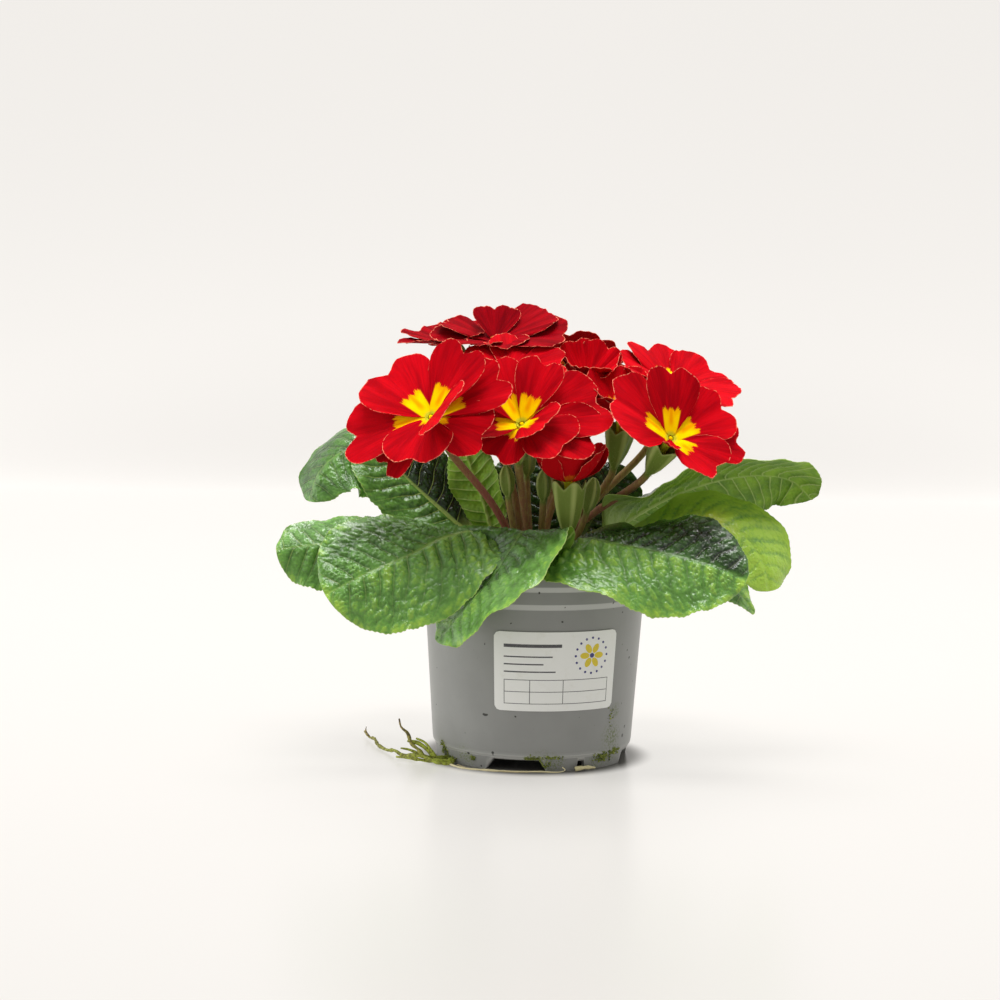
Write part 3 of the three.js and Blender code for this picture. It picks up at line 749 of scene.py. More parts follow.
@dataclass(frozen=True)
class LeafFlesh(Finish):
    """Primrose leaf: fleshy, with a waxy skin that glints on its bulges, pale veins, a lighter margin
    and a pale yellow-green underside, with painted shade in the hollows between the bulges.

    Field leaf_a is (number of side veins passed, mm from the midrib, mm along it); leaf_b is (mm to
    the margin, 1 on top and 0 beneath, tone from 0 dark to 1 light, which also paints shade); leaf_c is
    (yellowing, bulge height, share of blade); leaf_d is (paleness of the veins, share of the blade's length,
    1).
    """

    # greens from dark to light; the dark end also paints shade
    tones_and_shade: tuple[str, ...] = ("#10220c", "#3a5f24", "#62913f", "#9cc043")
    vein: str = "#a3bb62"
    margin: str = "#a9c06a"
    under: str = "#88b02c"
    # the underside's green where painted shade falls between the bulges
    under_shaded: str = "#4d761c"
    yellow: str = "#c3cb3c"
    bloom: str = "#8fa883"
    blotch_size: float = 11.0
    pore_size: float = 1.3
    pit_size: float = 1.25
    waxy: float = 0.23
    matt: float = 0.6
    ior: float = 1.48

    def surface(self, node: Adder) -> dict[str, Feed]:
        """Tone and painted shade from the fields, veins where the count of veins is near a whole number, and
        wrinkles.

        Args:
            node: adds a node.

        Returns:
            The surface shader's inputs.
        """
        (passed, across, along), (edge, face, tone), (yellowing, bulge, blade), (rib, climb, _) = (
            node(Kind.PARTS, node(Kind.FIELD, attribute_name=name).outputs["Vector"]).outputs
            for name in ("leaf_a", "leaf_b", "leaf_c", "leaf_d")
        )
        flat = node(Kind.VECTOR, across, along)
        blotch = node(Kind.NOISE, flat, 1 / self.blotch_size, 4, self.OCTAVE)
        fine = node(Kind.NOISE, flat, 1 / self.pore_size, 3, self.OCTAVE)
        # The tone carries painted shade as well as the leaf's own tone. Below, the hollows between the bulges
        # are darkened as painted shade and their crowns lightened a little as painted light.
        shade = tone
        for source, *span in ((blotch, 0.25, 0.75, -0.12, 0.12), (bulge, 0, 0.65, -0.2, 0.06),
                              (fine, 0.3, 0.7, -0.05, 0.05), (edge, 0, 7, 0.16, 0)):
            shade = node(Kind.PLUS, shade, node(Kind.RAMP, source, *span))
        tones_and_shade = node(Kind.TONES, shade)
        stops = tones_and_shade.color_ramp.elements
        while len(stops) < len(self.tones_and_shade):
            stops.new(0.5)
        for k, tone_hex in enumerate(self.tones_and_shade):
            stops[k].position = k / (len(self.tones_and_shade) - 1)
            stops[k].color = colour(tone_hex)
        # Side veins fade away from the midrib, and the midrib narrows and fades towards the tip.
        from_vein = node(Kind.TO_NEAREST, passed, 0.5)
        off = node(Kind.SIZE, across)
        side_vein = node(Kind.TIMES, node(Kind.RAMP, from_vein, 0.01, 0.055, 1, 0),
                         node(Kind.RAMP, off, 2, 18, 0.7, 0.25))
        width = node(Kind.RAMP, climb, 0, 0.8, 1.3, 0.5)
        middle = node(Kind.RAMP, node(Kind.LESS, off, width), -0.4, 0.25, 1, 0)
        middle = node(Kind.TIMES, middle, node(Kind.RAMP, climb, 0.2, 0.8, 1, 0.45))
        veins = node(Kind.TIMES, node(Kind.GREATER, side_vein, middle), rib)
        top = node(Kind.BLEND, veins, tones_and_shade, self.vein)
        turned = node(Kind.TIMES, yellowing, node(Kind.RAMP, blotch, 0.3, 0.6))
        top = node(Kind.BLEND, turned, top, self.yellow)
        # Beneath, the crowns of the bulges are painted lighter than the hollows: painted light and shade on the
        # underside.
        lit = node(Kind.PLUS, node(Kind.RAMP, blotch, 0.3, 0.7, 0, 0.6),
                   node(Kind.RAMP, bulge, 0, 0.7, 0, 0.4))
        under = node(Kind.BLEND, lit, self.under_shaded, self.under)
        under_vein = node(Kind.GREATER, node(Kind.RAMP, from_vein, 0.02, 0.09, 0.8, 0), middle)
        under = node(Kind.BLEND, under_vein, under, self.vein)
        skin = node(Kind.BLEND, face, under, top)
        skin = node(Kind.BLEND, node(Kind.LESS, 1, blade), skin, self.vein)
        skin = node(Kind.BLEND, node(Kind.RAMP, edge, 0.05, 0.4, 0.7, 0), skin, self.margin)
        pits = node(Kind.PITS, flat, 1 / self.pit_size)
        height = node(Kind.PLUS, node(Kind.TIMES, pits, -1), fine)
        return {
            "Base Color": skin,
            "Roughness": node(Kind.RAMP, face, 0, 1, self.matt, self.waxy),
            "IOR": self.ior, "Specular IOR Level": 0.42,
            "Normal": node(Kind.BUMP, 0.8, 0.3 * MM, named={"Height": height}),
            "Subsurface Weight": 0.12, "Subsurface Radius": (0.4, 1.0, 0.15), "Subsurface Scale": 0.6 * MM,
            "Sheen Weight": 0.02, "Sheen Roughness": 0.4, "Sheen Tint": self.bloom,
        }


@dataclass(frozen=True)
class PetalVelvet(Finish):
    """Primrose petal: crimson and velvety, with fine veins fanning from the eye, a toothed yellow star
    with orange rays, a greenish throat and a broken pale line along the margin.

    Field petal_a is (mm from the eye along the petal's middle, mm off that middle, star's reach in mm);
    petal_b is (mm to the margin, 1 on the face and 0 on the back, a number of the petal's own).
    half_width: of the star's lobe on a petal, at the eye. tooth: from one tooth at its end to the
    next. disc: radius of the throat that joins the lobes.
    """

    crimson: str = "#c00715"
    deep: str = "#7e040e"
    back: str = "#b00c14"
    star: str = "#fbd000"
    ray: str = "#e88a00"
    throat: str = "#b4ba2c"
    margin: str = "#e8846a"
    half_width: float = 2.3
    tooth: float = 3.4
    disc: float = 4.4
    broken_size: float = 1.3

    def surface(self, node: Adder) -> dict[str, Feed]:
        """Crimson darkened along the veins, then the star, its rays, the throat and the margin.

        Args:
            node: adds a node.

        Returns:
            The surface shader's inputs.
        """
        (along, aside, reach), (edge, face, own) = (
            node(Kind.PARTS, node(Kind.FIELD, attribute_name=name).outputs["Vector"]).outputs
            for name in ("petal_a", "petal_b")
        )
        off = node(Kind.SIZE, aside)
        away = node(Kind.SQUARE_ROOT, node(Kind.PLUS, *(node(Kind.TIMES, x, x) for x in (along, aside))))
        # Both noises are stretched along the lines that fan out from the eye.
        fan = node(Kind.ANGLE, aside, along)
        narrow, wide = (
            node(Kind.VECTOR, node(Kind.TIMES, fan, across), node(Kind.TIMES, away, down), own)
            for across, down in ((30, 0.05), (5, 0.04))
        )
        strands = node(Kind.NOISE, narrow, 1, 4, 0.6)
        broad = node(Kind.NOISE, wide, 1, 2, self.OCTAVE)
        red = node(Kind.BLEND, node(Kind.RAMP, strands, 0.25, 0.6, 0.55, 1), self.deep, self.crimson)
        red = node(Kind.BLEND, node(Kind.RAMP, broad, 0.3, 0.65, 0.6, 0), red, self.deep)
        red = node(Kind.BLEND, node(Kind.LESS, 1, face), red, self.back)
        # A lobe of the star is where the point is short of its frayed, toothed end and beside its
        # middle by less than its half width, which grows outwards.
        frayed = node(Kind.RAMP, node(Kind.NOISE, narrow, 1 / 0.6, 2, self.OCTAVE), 0.2, 0.8, -1.1, 1.1)
        teeth = node(Kind.TIMES, node(Kind.TO_NEAREST, off, self.tooth / 2), -0.9)
        beyond = node(Kind.LESS, node(Kind.PLUS, node(Kind.PLUS, reach, frayed), teeth), along)
        beside = node(Kind.LESS, node(Kind.PLUS, self.half_width, node(Kind.TIMES, along, 0.2)), off)
        disc = node(Kind.LESS, node(Kind.LOWER, self.disc, reach), away)
        inside = node(Kind.GREATER, node(Kind.LOWER, beyond, beside), disc)
        ray = node(Kind.TIMES, node(Kind.RAMP, off, 0.2, 1.9, 0.8, 0), node(Kind.RAMP, away, 4, 8))
        ray = node(Kind.GREATER, ray, node(Kind.RAMP, beyond, 0, 4.5, 0.55, 0))
        yellow = node(Kind.BLEND, ray, self.star, self.ray)
        yellow = node(Kind.BLEND, node(Kind.RAMP, away, 1.8, 4.2, 0.9, 0), yellow, self.throat)
        front = node(Kind.TIMES, node(Kind.RAMP, inside, -0.3, 0.5), node(Kind.RAMP, face, 0, 1, 0.2, 1))
        skin = node(Kind.BLEND, front, red, yellow)
        where = node(Kind.PLACE).outputs["Object"]
        patchy = node(Kind.NOISE, where, PER_MM / self.broken_size, 3, self.OCTAVE)
        broken = node(Kind.RAMP, patchy, 0.35, 0.65, -0.1, 0.42)
        rim = node(Kind.RAMP, node(Kind.LESS, edge, broken), -0.12, 0.12, 0.8, 0)
        return {
            "Base Color": node(Kind.BLEND, rim, skin, self.margin),
            "Roughness": 0.7, "Specular IOR Level": 0.01,
            "Normal": node(Kind.BUMP, 0.4, 0.16 * MM, named={"Height": strands}),
            "Subsurface Weight": 0.15, "Subsurface Radius": (1.0, 0.05, 0.05), "Subsurface Scale": 0.6 * MM,
        }


@dataclass(frozen=True)
class DownyStalk(Finish):
    """Flower stalk and calyx: soft, downy, green at the calyx with pale ridges and flushed brown-red
    down the stalk.

    Field stalk_a is (flush from 0 to 1, ridge from 0 to 1, calyx from 0 to 1).
    """

    green: str = "#6a7d30"
    ridge: str = "#a0ad62"
    stalk: str = "#93a045"
    flush: str = "#94554a"
    down: str = "#e9e9d6"
    streak_width: float = 0.8

    def surface(self, node: Adder) -> dict[str, Feed]:
        """Green or flushed by the fields, with ridges and soft streaks drawn out upwards.

        Args:
            node: adds a node.

        Returns:
            The surface shader's inputs.
        """
        field_vector = node(Kind.FIELD, attribute_name="stalk_a").outputs["Vector"]
        flushed, ridge, calyx = node(Kind.PARTS, field_vector).outputs
        drawn_out = node(Kind.STRETCH, node(Kind.PLACE).outputs["Object"], named={"Scale": (1, 1, 0.15)})
        streak = node(Kind.NOISE, drawn_out, PER_MM / self.streak_width, 4, self.OCTAVE)
        cup = node(Kind.BLEND, ridge, self.green, self.ridge)
        stem = node(Kind.BLEND, node(Kind.RAMP, streak, 0.3, 0.7), self.stalk, self.green)
        flushed = node(Kind.TIMES, flushed, node(Kind.RAMP, streak, 0.2, 0.6, 0.7, 1))
        stem = node(Kind.BLEND, flushed, stem, self.flush)
        return {
            "Base Color": node(Kind.BLEND, calyx, stem, cup),
            "Roughness": 0.62, "Specular IOR Level": 0.25,
            "Normal": node(Kind.BUMP, 0.5, 0.12 * MM, named={"Height": streak}),
            "Sheen Weight": 0.06, "Sheen Roughness": 0.3, "Sheen Tint": self.down,
        }


@dataclass(frozen=True)
class DriedRoot(Finish):
    """Stray roots and runners: wrinkled, brown where dry and bright green where still alive.

    Field root_a is (life from 0 dry to 1 green, paleness, 0).
    """

    dry: str = "#4c3b20"
    pale: str = "#b39a63"
    straw: str = "#d8cda4"
    alive: str = "#a8b83c"
    wrinkle: float = 1.2

    def surface(self, node: Adder) -> dict[str, Feed]:
        """Brown and straw mottling 1.2 mm across, turning green with life.

        Args:
            node: adds a node.

        Returns:
            The surface shader's inputs.
        """
        field_vector = node(Kind.FIELD, attribute_name="root_a").outputs["Vector"]
        life, straw, _ = node(Kind.PARTS, field_vector).outputs
        wrinkles = node(Kind.NOISE, node(Kind.PLACE).outputs["Object"], PER_MM / self.wrinkle, 5, 0.65)
        brown = node(Kind.BLEND, node(Kind.RAMP, wrinkles, 0.4, 0.7), self.dry, self.pale)
        brown = node(Kind.BLEND, straw, brown, self.straw)
        living = node(Kind.TIMES, life, node(Kind.RAMP, wrinkles, 0.35, 0.6, 0.25, 1))
        return {
            "Base Color": node(Kind.BLEND, living, brown, self.alive),
            "Roughness": 0.7,
            "Normal": node(Kind.BUMP, 0.8, 0.2 * MM, named={"Height": wrinkles}),
        }


@dataclass(frozen=True)
class CushionMoss(Finish):
    """Cushion moss: matt, from dark to bright yellow green from shoot to shoot.

    Field moss_a is (tone from 0 dark to 1 bright, 0, 0).
    """

    dark: str = "#55642c"
    bright: str = "#a3ad50"

    def surface(self, node: Adder) -> dict[str, Feed]:
        """Each shoot in its own tone.

        Args:
            node: adds a node.

        Returns:
            The surface shader's inputs.
        """
        tone, _, _ = node(Kind.PARTS, node(Kind.FIELD, attribute_name="moss_a").outputs["Vector"]).outputs
        mossy = node(Kind.BLEND, tone, self.dark, self.bright)
        return {"Base Color": mossy, "Roughness": 0.9}


@dataclass(frozen=True)
class LitAcrylic(Finish):
    """A white acrylic shooting table, lit from beneath: pale, even, and smooth enough for a faint
    reflection. Round the pot's foot its glow is held back, a painted contact shadow, and the upright
    back glows more.

    behind: how much stronger the glow is on the upright back. painted_contact_shadow: the radii in mm
    between which the glow comes up round the pot's foot; the darker ring there is painted contact
    shadow. far: the distances in mm between which it grows behind.
    """

    base: str = "#6f6d6a"
    cloud: str = "#6c6a67"
    glow: str = "#fffcf8"
    glow_strength: float = 0.54
    behind: float = 0.21
    # radii of the painted contact shadow round the pot's foot
    painted_contact_shadow: Span = (45.5, 58.0)
    far: Span = (1520.0, 2100.0)
    cloud_size: float = 400.0
    roughness: float = 0.28

    def surface(self, node: Adder) -> dict[str, Feed]:
        """Off-white with very faint clouds.

        Args:
            node: adds a node.

        Returns:
            The surface shader's inputs.
        """
        where = node(Kind.PLACE).outputs["Object"]
        clouds = node(Kind.NOISE, where, PER_MM / self.cloud_size, 2, self.OCTAVE)
        clouds = node(Kind.RAMP, clouds, 0.3, 0.7, 0, 0.4)
        away = node(Kind.LENGTH, where)
        # Round the pot's foot the glow fades away, which paints a contact shadow there.
        near, back = (
            node(Kind.RAMP, away, low * MM, high * MM, 0, strength)
            for (low, high), strength in ((self.painted_contact_shadow, self.glow_strength), (self.far, self.behind))
        )
        return {
            "Base Color": node(Kind.BLEND, clouds, self.base, self.cloud),
            "Roughness": self.roughness, "Specular IOR Level": 0.35,
            "Emission Color": self.glow, "Emission Strength": node(Kind.PLUS, near, back),
        }


# ---------------- pot, label, soil


@dataclass(frozen=True)
class NurseryPot:
    """A moulded round pot: a profile turned about Z, with water notches and slits in its foot."""

    height: float = 90.0
    rim_radius: float = 52.5
    wall: float = 1.6
    top_radius: float = 50.6
    top_z: float = 73.5
    foot_top_radius: float = 46.2
    foot_top_z: float = 9.0
    foot_radius: float = 45.1
    foot_width: float = 2.6
    foot_step: float = 6.2
    floor_under: float = 5.4
    floor_top: float = 7.2
    pad_radius: float = 9.0
    notches: tuple[float, ...] = (-10.0, 80.0, 170.0, 260.0)
    notch_width: float = 21.0
    notch_height: float = 5.2
    notch_slant: float = 3.5
    slits: tuple[float, ...] = (-61.0, 29.0, 119.0, 209.0)
    slit_width: float = 3.4
    slit_height: float = 4.4
    slit_slant: float = 0.4
    drain_radius: float = 4.0
    drain_circle: float = 33.0
    drain_sides: int = 28
    sides: int = 210

    @property
    def openings(self) -> list[tuple[float, ...]]:
        """Every notch and slit in the foot.

        Returns:
            The azimuth, width, height and slant of each.
        """
        notch = self.notch_width, self.notch_height, self.notch_slant
        slit = self.slit_width, self.slit_height, self.slit_slant
        return [(a, *notch) for a in self.notches] + [(a, *slit) for a in self.slits]

    def body_radius(self, z: Array) -> Array:
        """The outer radius of the tapered body at a height: straight from foot to top."""
        share = (z - self.foot_top_z) / (self.top_z - self.foot_top_z)
        return self.foot_top_radius + share * (self.top_radius - self.foot_top_radius)

    def profile(self) -> Array:
        """The pot's section, from under its floor over the rim to inside.

        Returns:
            Its corners, each as radius and height.
        """
        inner_foot = self.foot_radius - self.foot_width
        lip, body = self.rim_radius, self.top_radius
        return np.array([
            [self.pad_radius, 0.0],
            [self.pad_radius, self.floor_under],
            [inner_foot - 0.6, self.floor_under],
            [inner_foot, 0.0],
            [self.foot_radius - 0.5, 0.0],
            [self.foot_radius, self.foot_step],
            [self.foot_radius + 0.8, self.foot_step + 0.9],
            [self.foot_top_radius, self.foot_top_z],
            [body, self.top_z],
            [body + 0.9, self.top_z + 2.6],
            [body + 1.0, self.height - 8.4],
            [lip, self.height - 6.0],
            [lip, self.height - 0.8],
            [lip - 0.8, self.height],
            [lip - self.wall - 0.3, self.height - 0.6],
            [body - self.wall, self.top_z],
            [self.foot_top_radius - self.wall, self.floor_top],
        ])

    def rounded(self, corners: Array, radius: float = 0.35, steps: int = 3) -> Array:
        """Softens corners: each is replaced by points on a quadratic arc that starts and ends a
        radius away from it, and long sides get a point every 3 mm.

        Args:
            corners: the section.
            radius: how far from its corner an arc starts.
            steps: steps along an arc.

        Returns:
            The softened section.
        """
        found = [corners[:1]]
        t = np.linspace(0, 1, steps + 1)[:, None]
        for before, corner, after in zip(corners[:-2], corners[1:-1], corners[2:]):
            away = [min(radius, 0.4 * np.linalg.norm(p - corner)) for p in (before, after)]
            a = corner + away[0] * unit(before - corner)
            b = corner + away[1] * unit(after - corner)
            count = max(1, int(np.linalg.norm(a - found[-1][-1]) // 3.0))
            straight = np.linspace(found[-1][-1], a, count + 1)[1:-1]
            found += [straight, (1 - t) ** 2 * a + 2 * t * (1 - t) * corner + t**2 * b]
        return np.vstack([*found, corners[-1:]])

    def arch(self, azimuth: Array) -> Array:
        """The height of the foot's lower edge: 0, or a notch's or slit's roof with slanted sides.

        Args:
            azimuth: where it is wanted, in degrees.

        Returns:
            The height in mm.
        """
        height = np.zeros_like(azimuth)
        for middle, width, roof, slant in self.openings:
            off = np.abs((azimuth - middle + 180.0) % 360.0 - 180.0)
            beside = self.foot_radius * np.sin(np.radians(np.minimum(off, 90.0)))
            share = np.clip((width / 2 + slant - beside) / slant, 0.0, 1.0)
            height = np.maximum(height, roof * share)
        return height

    def azimuths(self) -> Array:
        """Even azimuths, with more at the upper and lower ends of the openings' slanted sides.

        Returns:
            The azimuths in degrees, in order.
        """
        even = np.linspace(-180.0, 180.0, self.sides, endpoint=False)
        fine = []
        for middle, width, _, slant in self.openings:
            sides = [np.degrees(np.arcsin((width / 2 + s) / self.foot_radius)) for s in (0.0, slant)]
            fine += [middle + sign * side for side in sides for sign in (-1, 1)]
        every = (np.concatenate([even, fine]) + 180.0) % 360.0 - 180.0
        return np.unique(np.round(every, 3))

    def skin(self) -> Skin:
        """The pot's skin: the profile at each azimuth, lifted to the arch where the foot is open.

        Returns:
            The skin.
        """
        section = self.rounded(self.profile())
        azimuth = self.azimuths()
        radius, height = section[:, :1], section[:, 1:]
        in_foot = (radius > self.foot_radius - self.foot_width - 1.5) & (height < self.foot_step)
        z = np.where(in_foot, np.maximum(height, self.arch(azimuth)[None, :]), height)
        return closed_loft(polar(azimuth[None, :], radius, z))

    def finish(self) -> PottedPolypropylene:
        """The grey plastic, with algae and nicks where the damp pot has them.

        Returns:
            The finish.
        """
        return PottedPolypropylene(
            "moulded_grey_polypropylene",
            algae=((6, 3.5, 9), (14, 4, 6), (46, 5, 8), (55, 6, 6), (-64, 5, 7), (-42, 4, 8), (50, 14, 9),
                   (52, 26, 5), (38, 2, 6), (120, 4, 9), (160, 6, 12), (-130, 5, 10), (-100, 12, 7)),
            scuffs=((-44, 30, 0.7), (-41, 15.5, 0.8), (-23, 8, 0.8), (-46, 22, 0.6), (34, 73, 0.6),
                    (-12, 68, 0.6), (60, 36, 0.9), (62, 13, 1.2), (58, 16, 0.8), (150, 40, 0.8),
                    (-140, 55, 0.7)),
        )

    def cut_drains(self, piece: bpy.types.Object) -> None:
        """Cuts the round drain holes through the floor with a difference, applied at once.

        Args:
            piece: the moulding.
        """
        circle = around(X_AXIS, np.array([0.0, 1.0, 0.0]), self.drain_sides) * self.drain_radius
        rings = []
        for azimuth in self.notches:
            middle = polar(azimuth, self.drain_circle, 0.0)
            levels = [middle + circle + UP * z for z in (self.floor_under - 2.0, self.floor_top + 2.0)]
            rings.append(closed_loft(np.stack(levels)))
        cutter = bare_object("drain_cutter", rings)
        cut = piece.modifiers.new("drains", "BOOLEAN")
        cut.object, cut.operation, cut.solver = cutter, "DIFFERENCE", "EXACT"
        bake_modifiers(piece)
        bpy.data.objects.remove(cutter)

    def build(self) -> None:
        """Makes the pot and cuts its drain holes."""
        piece = make_piece("pot_moulding", [self.skin()], self.finish(), "pot")
        self.cut_drains(piece)


def bare_object(name: str, skins: list[Skin]) -> bpy.types.Object:
    """A helper object from skins, with no finish and no tie to the frame.

    Args:
        name: its name.
        skins: its closed skins.

    Returns:
        The object.
    """
    starts = np.cumsum([0] + [len(s.points) for s in skins])
    faces = [face for skin, start in zip(skins, starts) for part in (skin.quads, skin.tris)
             for face in (part + start).tolist()]
    mesh = bpy.data.meshes.new(name)
    mesh.from_pydata((np.vstack([s.points for s in skins]) * MM).tolist(), [], faces)
    return place_object(name, mesh)


def bake_modifiers(piece: bpy.types.Object) -> None:
    """Applies a piece's modifiers to its mesh.

    Args:
        piece: the piece.
    """
    bpy.context.view_layer.update()
    evaluated = piece.evaluated_get(bpy.context.evaluated_depsgraph_get())
    mesh = bpy.data.meshes.new_from_object(evaluated)
    piece.modifiers.clear()
    piece.data = mesh


@dataclass(frozen=True)
class PotLabel:
    """A paper label wrapped on the pot's front, with round corners and a plain ruled print."""

    pot: NurseryPot
    start: float = -21.4
    end: float = 46.8
    bottom: float = 28.0
    top: float = 63.8
    corner: float = 2.6
    standoff: float = 0.32
    thickness: float = 0.3
    margin: float = 4.5
    hairline: float = 0.28
    ink: float = 0.03

    INKS = (("black", "#4b4b4d"), ("yellow", "#d8c22a"), ("blue", "#3b3b78"))

    @property
    def width(self) -> float:
        """The label's width along the pot, at its middle."""
        radius = float(self.pot.body_radius((self.bottom + self.top) / 2))
        return math.radians(self.end - self.start) * radius

    def on_pot(self, x: Array, y: Array, off: float) -> Array:
        """Points on the pot's flank under the label.

        Args:
            x: mm along the label from its middle.
            y: mm above its lower edge.
            off: how far they stand off the pot.

        Returns:
            The points.
        """
        middle = (self.start + self.end) / 2
        azimuth = middle + x / self.width * (self.end - self.start)
        z = self.bottom + y
        return polar(azimuth, self.pot.body_radius(z) + off, z)

    def panel(self, x: Span, y: Span, corner: float, off: float, thick: float, rows: int = 14,
              columns: int = 40) -> Skin:
        """A sheet with round corners that follows the pot.

        Rows run up it. A row less than the corner's radius from an end is shortened at both sides by
        the radius less the root of its square less the square of the depth into the corner.

        Args:
            x: its left and right edge, mm from the label's middle.
            y: its lower and upper edge, mm above the label's lower edge.
            corner: the corners' radius.
            off: how far it stands off the pot.
            thick: its thickness.
            rows: rows of points.
            columns: points in a row.

        Returns:
            The skin.
        """
        share = (1 - np.cos(np.linspace(0, np.pi, rows))) / 2
        up = y[0] + (y[1] - y[0]) * share
        into = np.maximum(0.0, corner - np.minimum(up - y[0], y[1] - up))
        shorter = (corner - np.sqrt(np.maximum(0.0, corner**2 - into**2)))[:, None]
        across = np.linspace(0, 1, columns)[None, :]
        wide = x[0] + shorter + (x[1] - x[0] - 2 * shorter) * across
        high = np.broadcast_to(up[:, None], wide.shape)
        return closed_sheet(self.on_pot(wide, high, off + thick), self.on_pot(wide, high, off), {})

    def rule(self, x: Span, y: float, thick: float) -> Skin:
        """A straight printed line along the label, with a point every 1.5 mm."""
        points = max(3, int(abs(x[1] - x[0]) / 1.5))
        return self.panel(x, (y, y + thick), 0.0, self.standoff + self.thickness, self.ink, 2, points)

    def disc(self, x: float, y: float, radius: float, squash: float = 1.0, turn: float = 0.0) -> Skin:
        """A printed dot or petal: a filled oval as a polar grid of points.

        Args:
            x: its middle, mm along the label from the label's middle.
            y: the same, mm above the label's lower edge.
            radius: half of its length.
            squash: its width as a share of its length.
            turn: the angle of its length, in radians.

        Returns:
            The skin.
        """
        r = np.linspace(0.02, 1.0, 5)[:, None] * radius
        a = np.linspace(0, 2 * np.pi, 20)[None, :]
        u, v = r * np.cos(a), r * np.sin(a) * squash
        wide = x + u * math.cos(turn) - v * math.sin(turn)
        high = y + u * math.sin(turn) + v * math.cos(turn)
        off = self.standoff + self.thickness
        return closed_sheet(self.on_pot(wide, high, off + self.ink), self.on_pot(wide, high, off), {})

    def wreath(self, x: float, y: float, radius: float, count: int) -> list[Point]:
        """Even places on a circle round a middle, each with its angle in radians."""
        turns = 2 * np.pi * np.arange(count) / count
        return [(x + radius * math.cos(a), y + radius * math.sin(a), a) for a in turns]

    def build(self) -> None:
        """Makes the paper and three prints: grey rules, a yellow flower and a blue ring of dots."""
        half, tall = self.width / 2, self.top - self.bottom
        left = -half + self.margin
        paper = self.panel((-half, half), (0.0, tall), self.corner, self.standoff, self.thickness)
        make_piece("label_paper", [paper], CoatedPaper("coated_label_paper"), "label")
        rules = [self.rule((left, -half + 30.0), tall - 7.0, 1.5)]
        rules += [self.rule((left, -half + w), tall - 11.5 - 3.4 * k, 0.6)
                  for k, w in enumerate((26.0, 22.0, 27.5))]
        rules += [self.rule((left, half - 4.0), y, self.hairline) for y in (3.2, 8.6, 14.0)]
        off = self.standoff + self.thickness
        rules += [self.panel((x, x + self.hairline), (3.2, 14.28), 0.0, off, self.ink, 5, 2)
                  for x in (left, -half + 16.0, 2.0, half - 4.3)]
        black, yellow, blue = (PrintedInk(f"thermal_print_{name}", ink) for name, ink in self.INKS)
        make_piece("label_rules", rules, black, "label")
        x, y = half - 13.5, tall - 11.0
        petals = [self.disc(*at, 2.3, 0.62, a) for *at, a in self.wreath(x, y, 3.6, 6)]
        make_piece("label_flower", petals, yellow, "label")
        ring = [self.disc(*at, 0.55) for *at, _ in self.wreath(x, y, 8.0, 16)]
        make_piece("label_ring", [self.disc(x, y, 1.1), *ring], blue, "label")


@dataclass(frozen=True)
class PeatBall:
    """The filled root ball: its flanks follow the pot, and its top is lumpy with loose crumbs."""

    pot: NurseryPot
    top: float = SOIL_TOP
    clearance: float = 0.4
    crumbs: int = 700

    def skin(self, sides: int = 120) -> Skin:
        """Rings from under the ball's foot up its flank and in over its top, the top's height uneven
        by noise at two sizes.

        Args:
            sides: points in a ring.

        Returns:
            The skin.
        """
        pot = self.pot
        inner = [pot.body_radius(z) - pot.wall - self.clearance for z in (pot.floor_top, pot.top_z)]
        low = pot.floor_top + self.clearance
        flank = [(1.0, low), (inner[0] - 3.0, low), (inner[0] - 0.5, low + 1.0),
                 (inner[1] - 0.3, pot.top_z), (inner[1] - 0.3, self.top - 2.5)]
        over = [((inner[1] - 0.3) * r, self.top - 1.4 * r**6) for r in np.linspace(0.99, 0.02, 42)]
        section = np.array(flank + over)
        azimuth = np.linspace(-180, 180, sides, endpoint=False)[None, :]
        rings = polar(azimuth, section[:, :1], section[:, 1:])
        x, y = rings[..., 0], rings[..., 1]
        lumpy = 0.7 * value_noise(x / 5.0, y / 5.0, 3) + 0.4 * value_noise(x / 1.9, y / 1.9, 5)
        rings[..., 2] += np.where(np.arange(len(section))[:, None] >= len(flank), lumpy - 0.6, 0.0)
        return closed_loft(rings)

    def build(self) -> None:
        """Makes the ball and its crumbs in one piece."""
        random = np.random.default_rng(11)
        reach = (self.pot.top_radius - self.pot.wall - 2.5) * np.sqrt(random.uniform(0, 1, self.crumbs))
        azimuth = random.uniform(-180, 180, self.crumbs)
        size = random.uniform(0.3, 1.3, (self.crumbs, 1)) * random.uniform(0.6, 1.2, (self.crumbs, 3))
        centres = polar(azimuth, reach, self.top - 0.4 + 0.3 * size[:, 0])
        skins = [self.skin(), lumps(centres, size, 12)]
        make_piece("peat_ball", skins, DampPeat("damp_peat"), "soil")


# ---------------- leaves


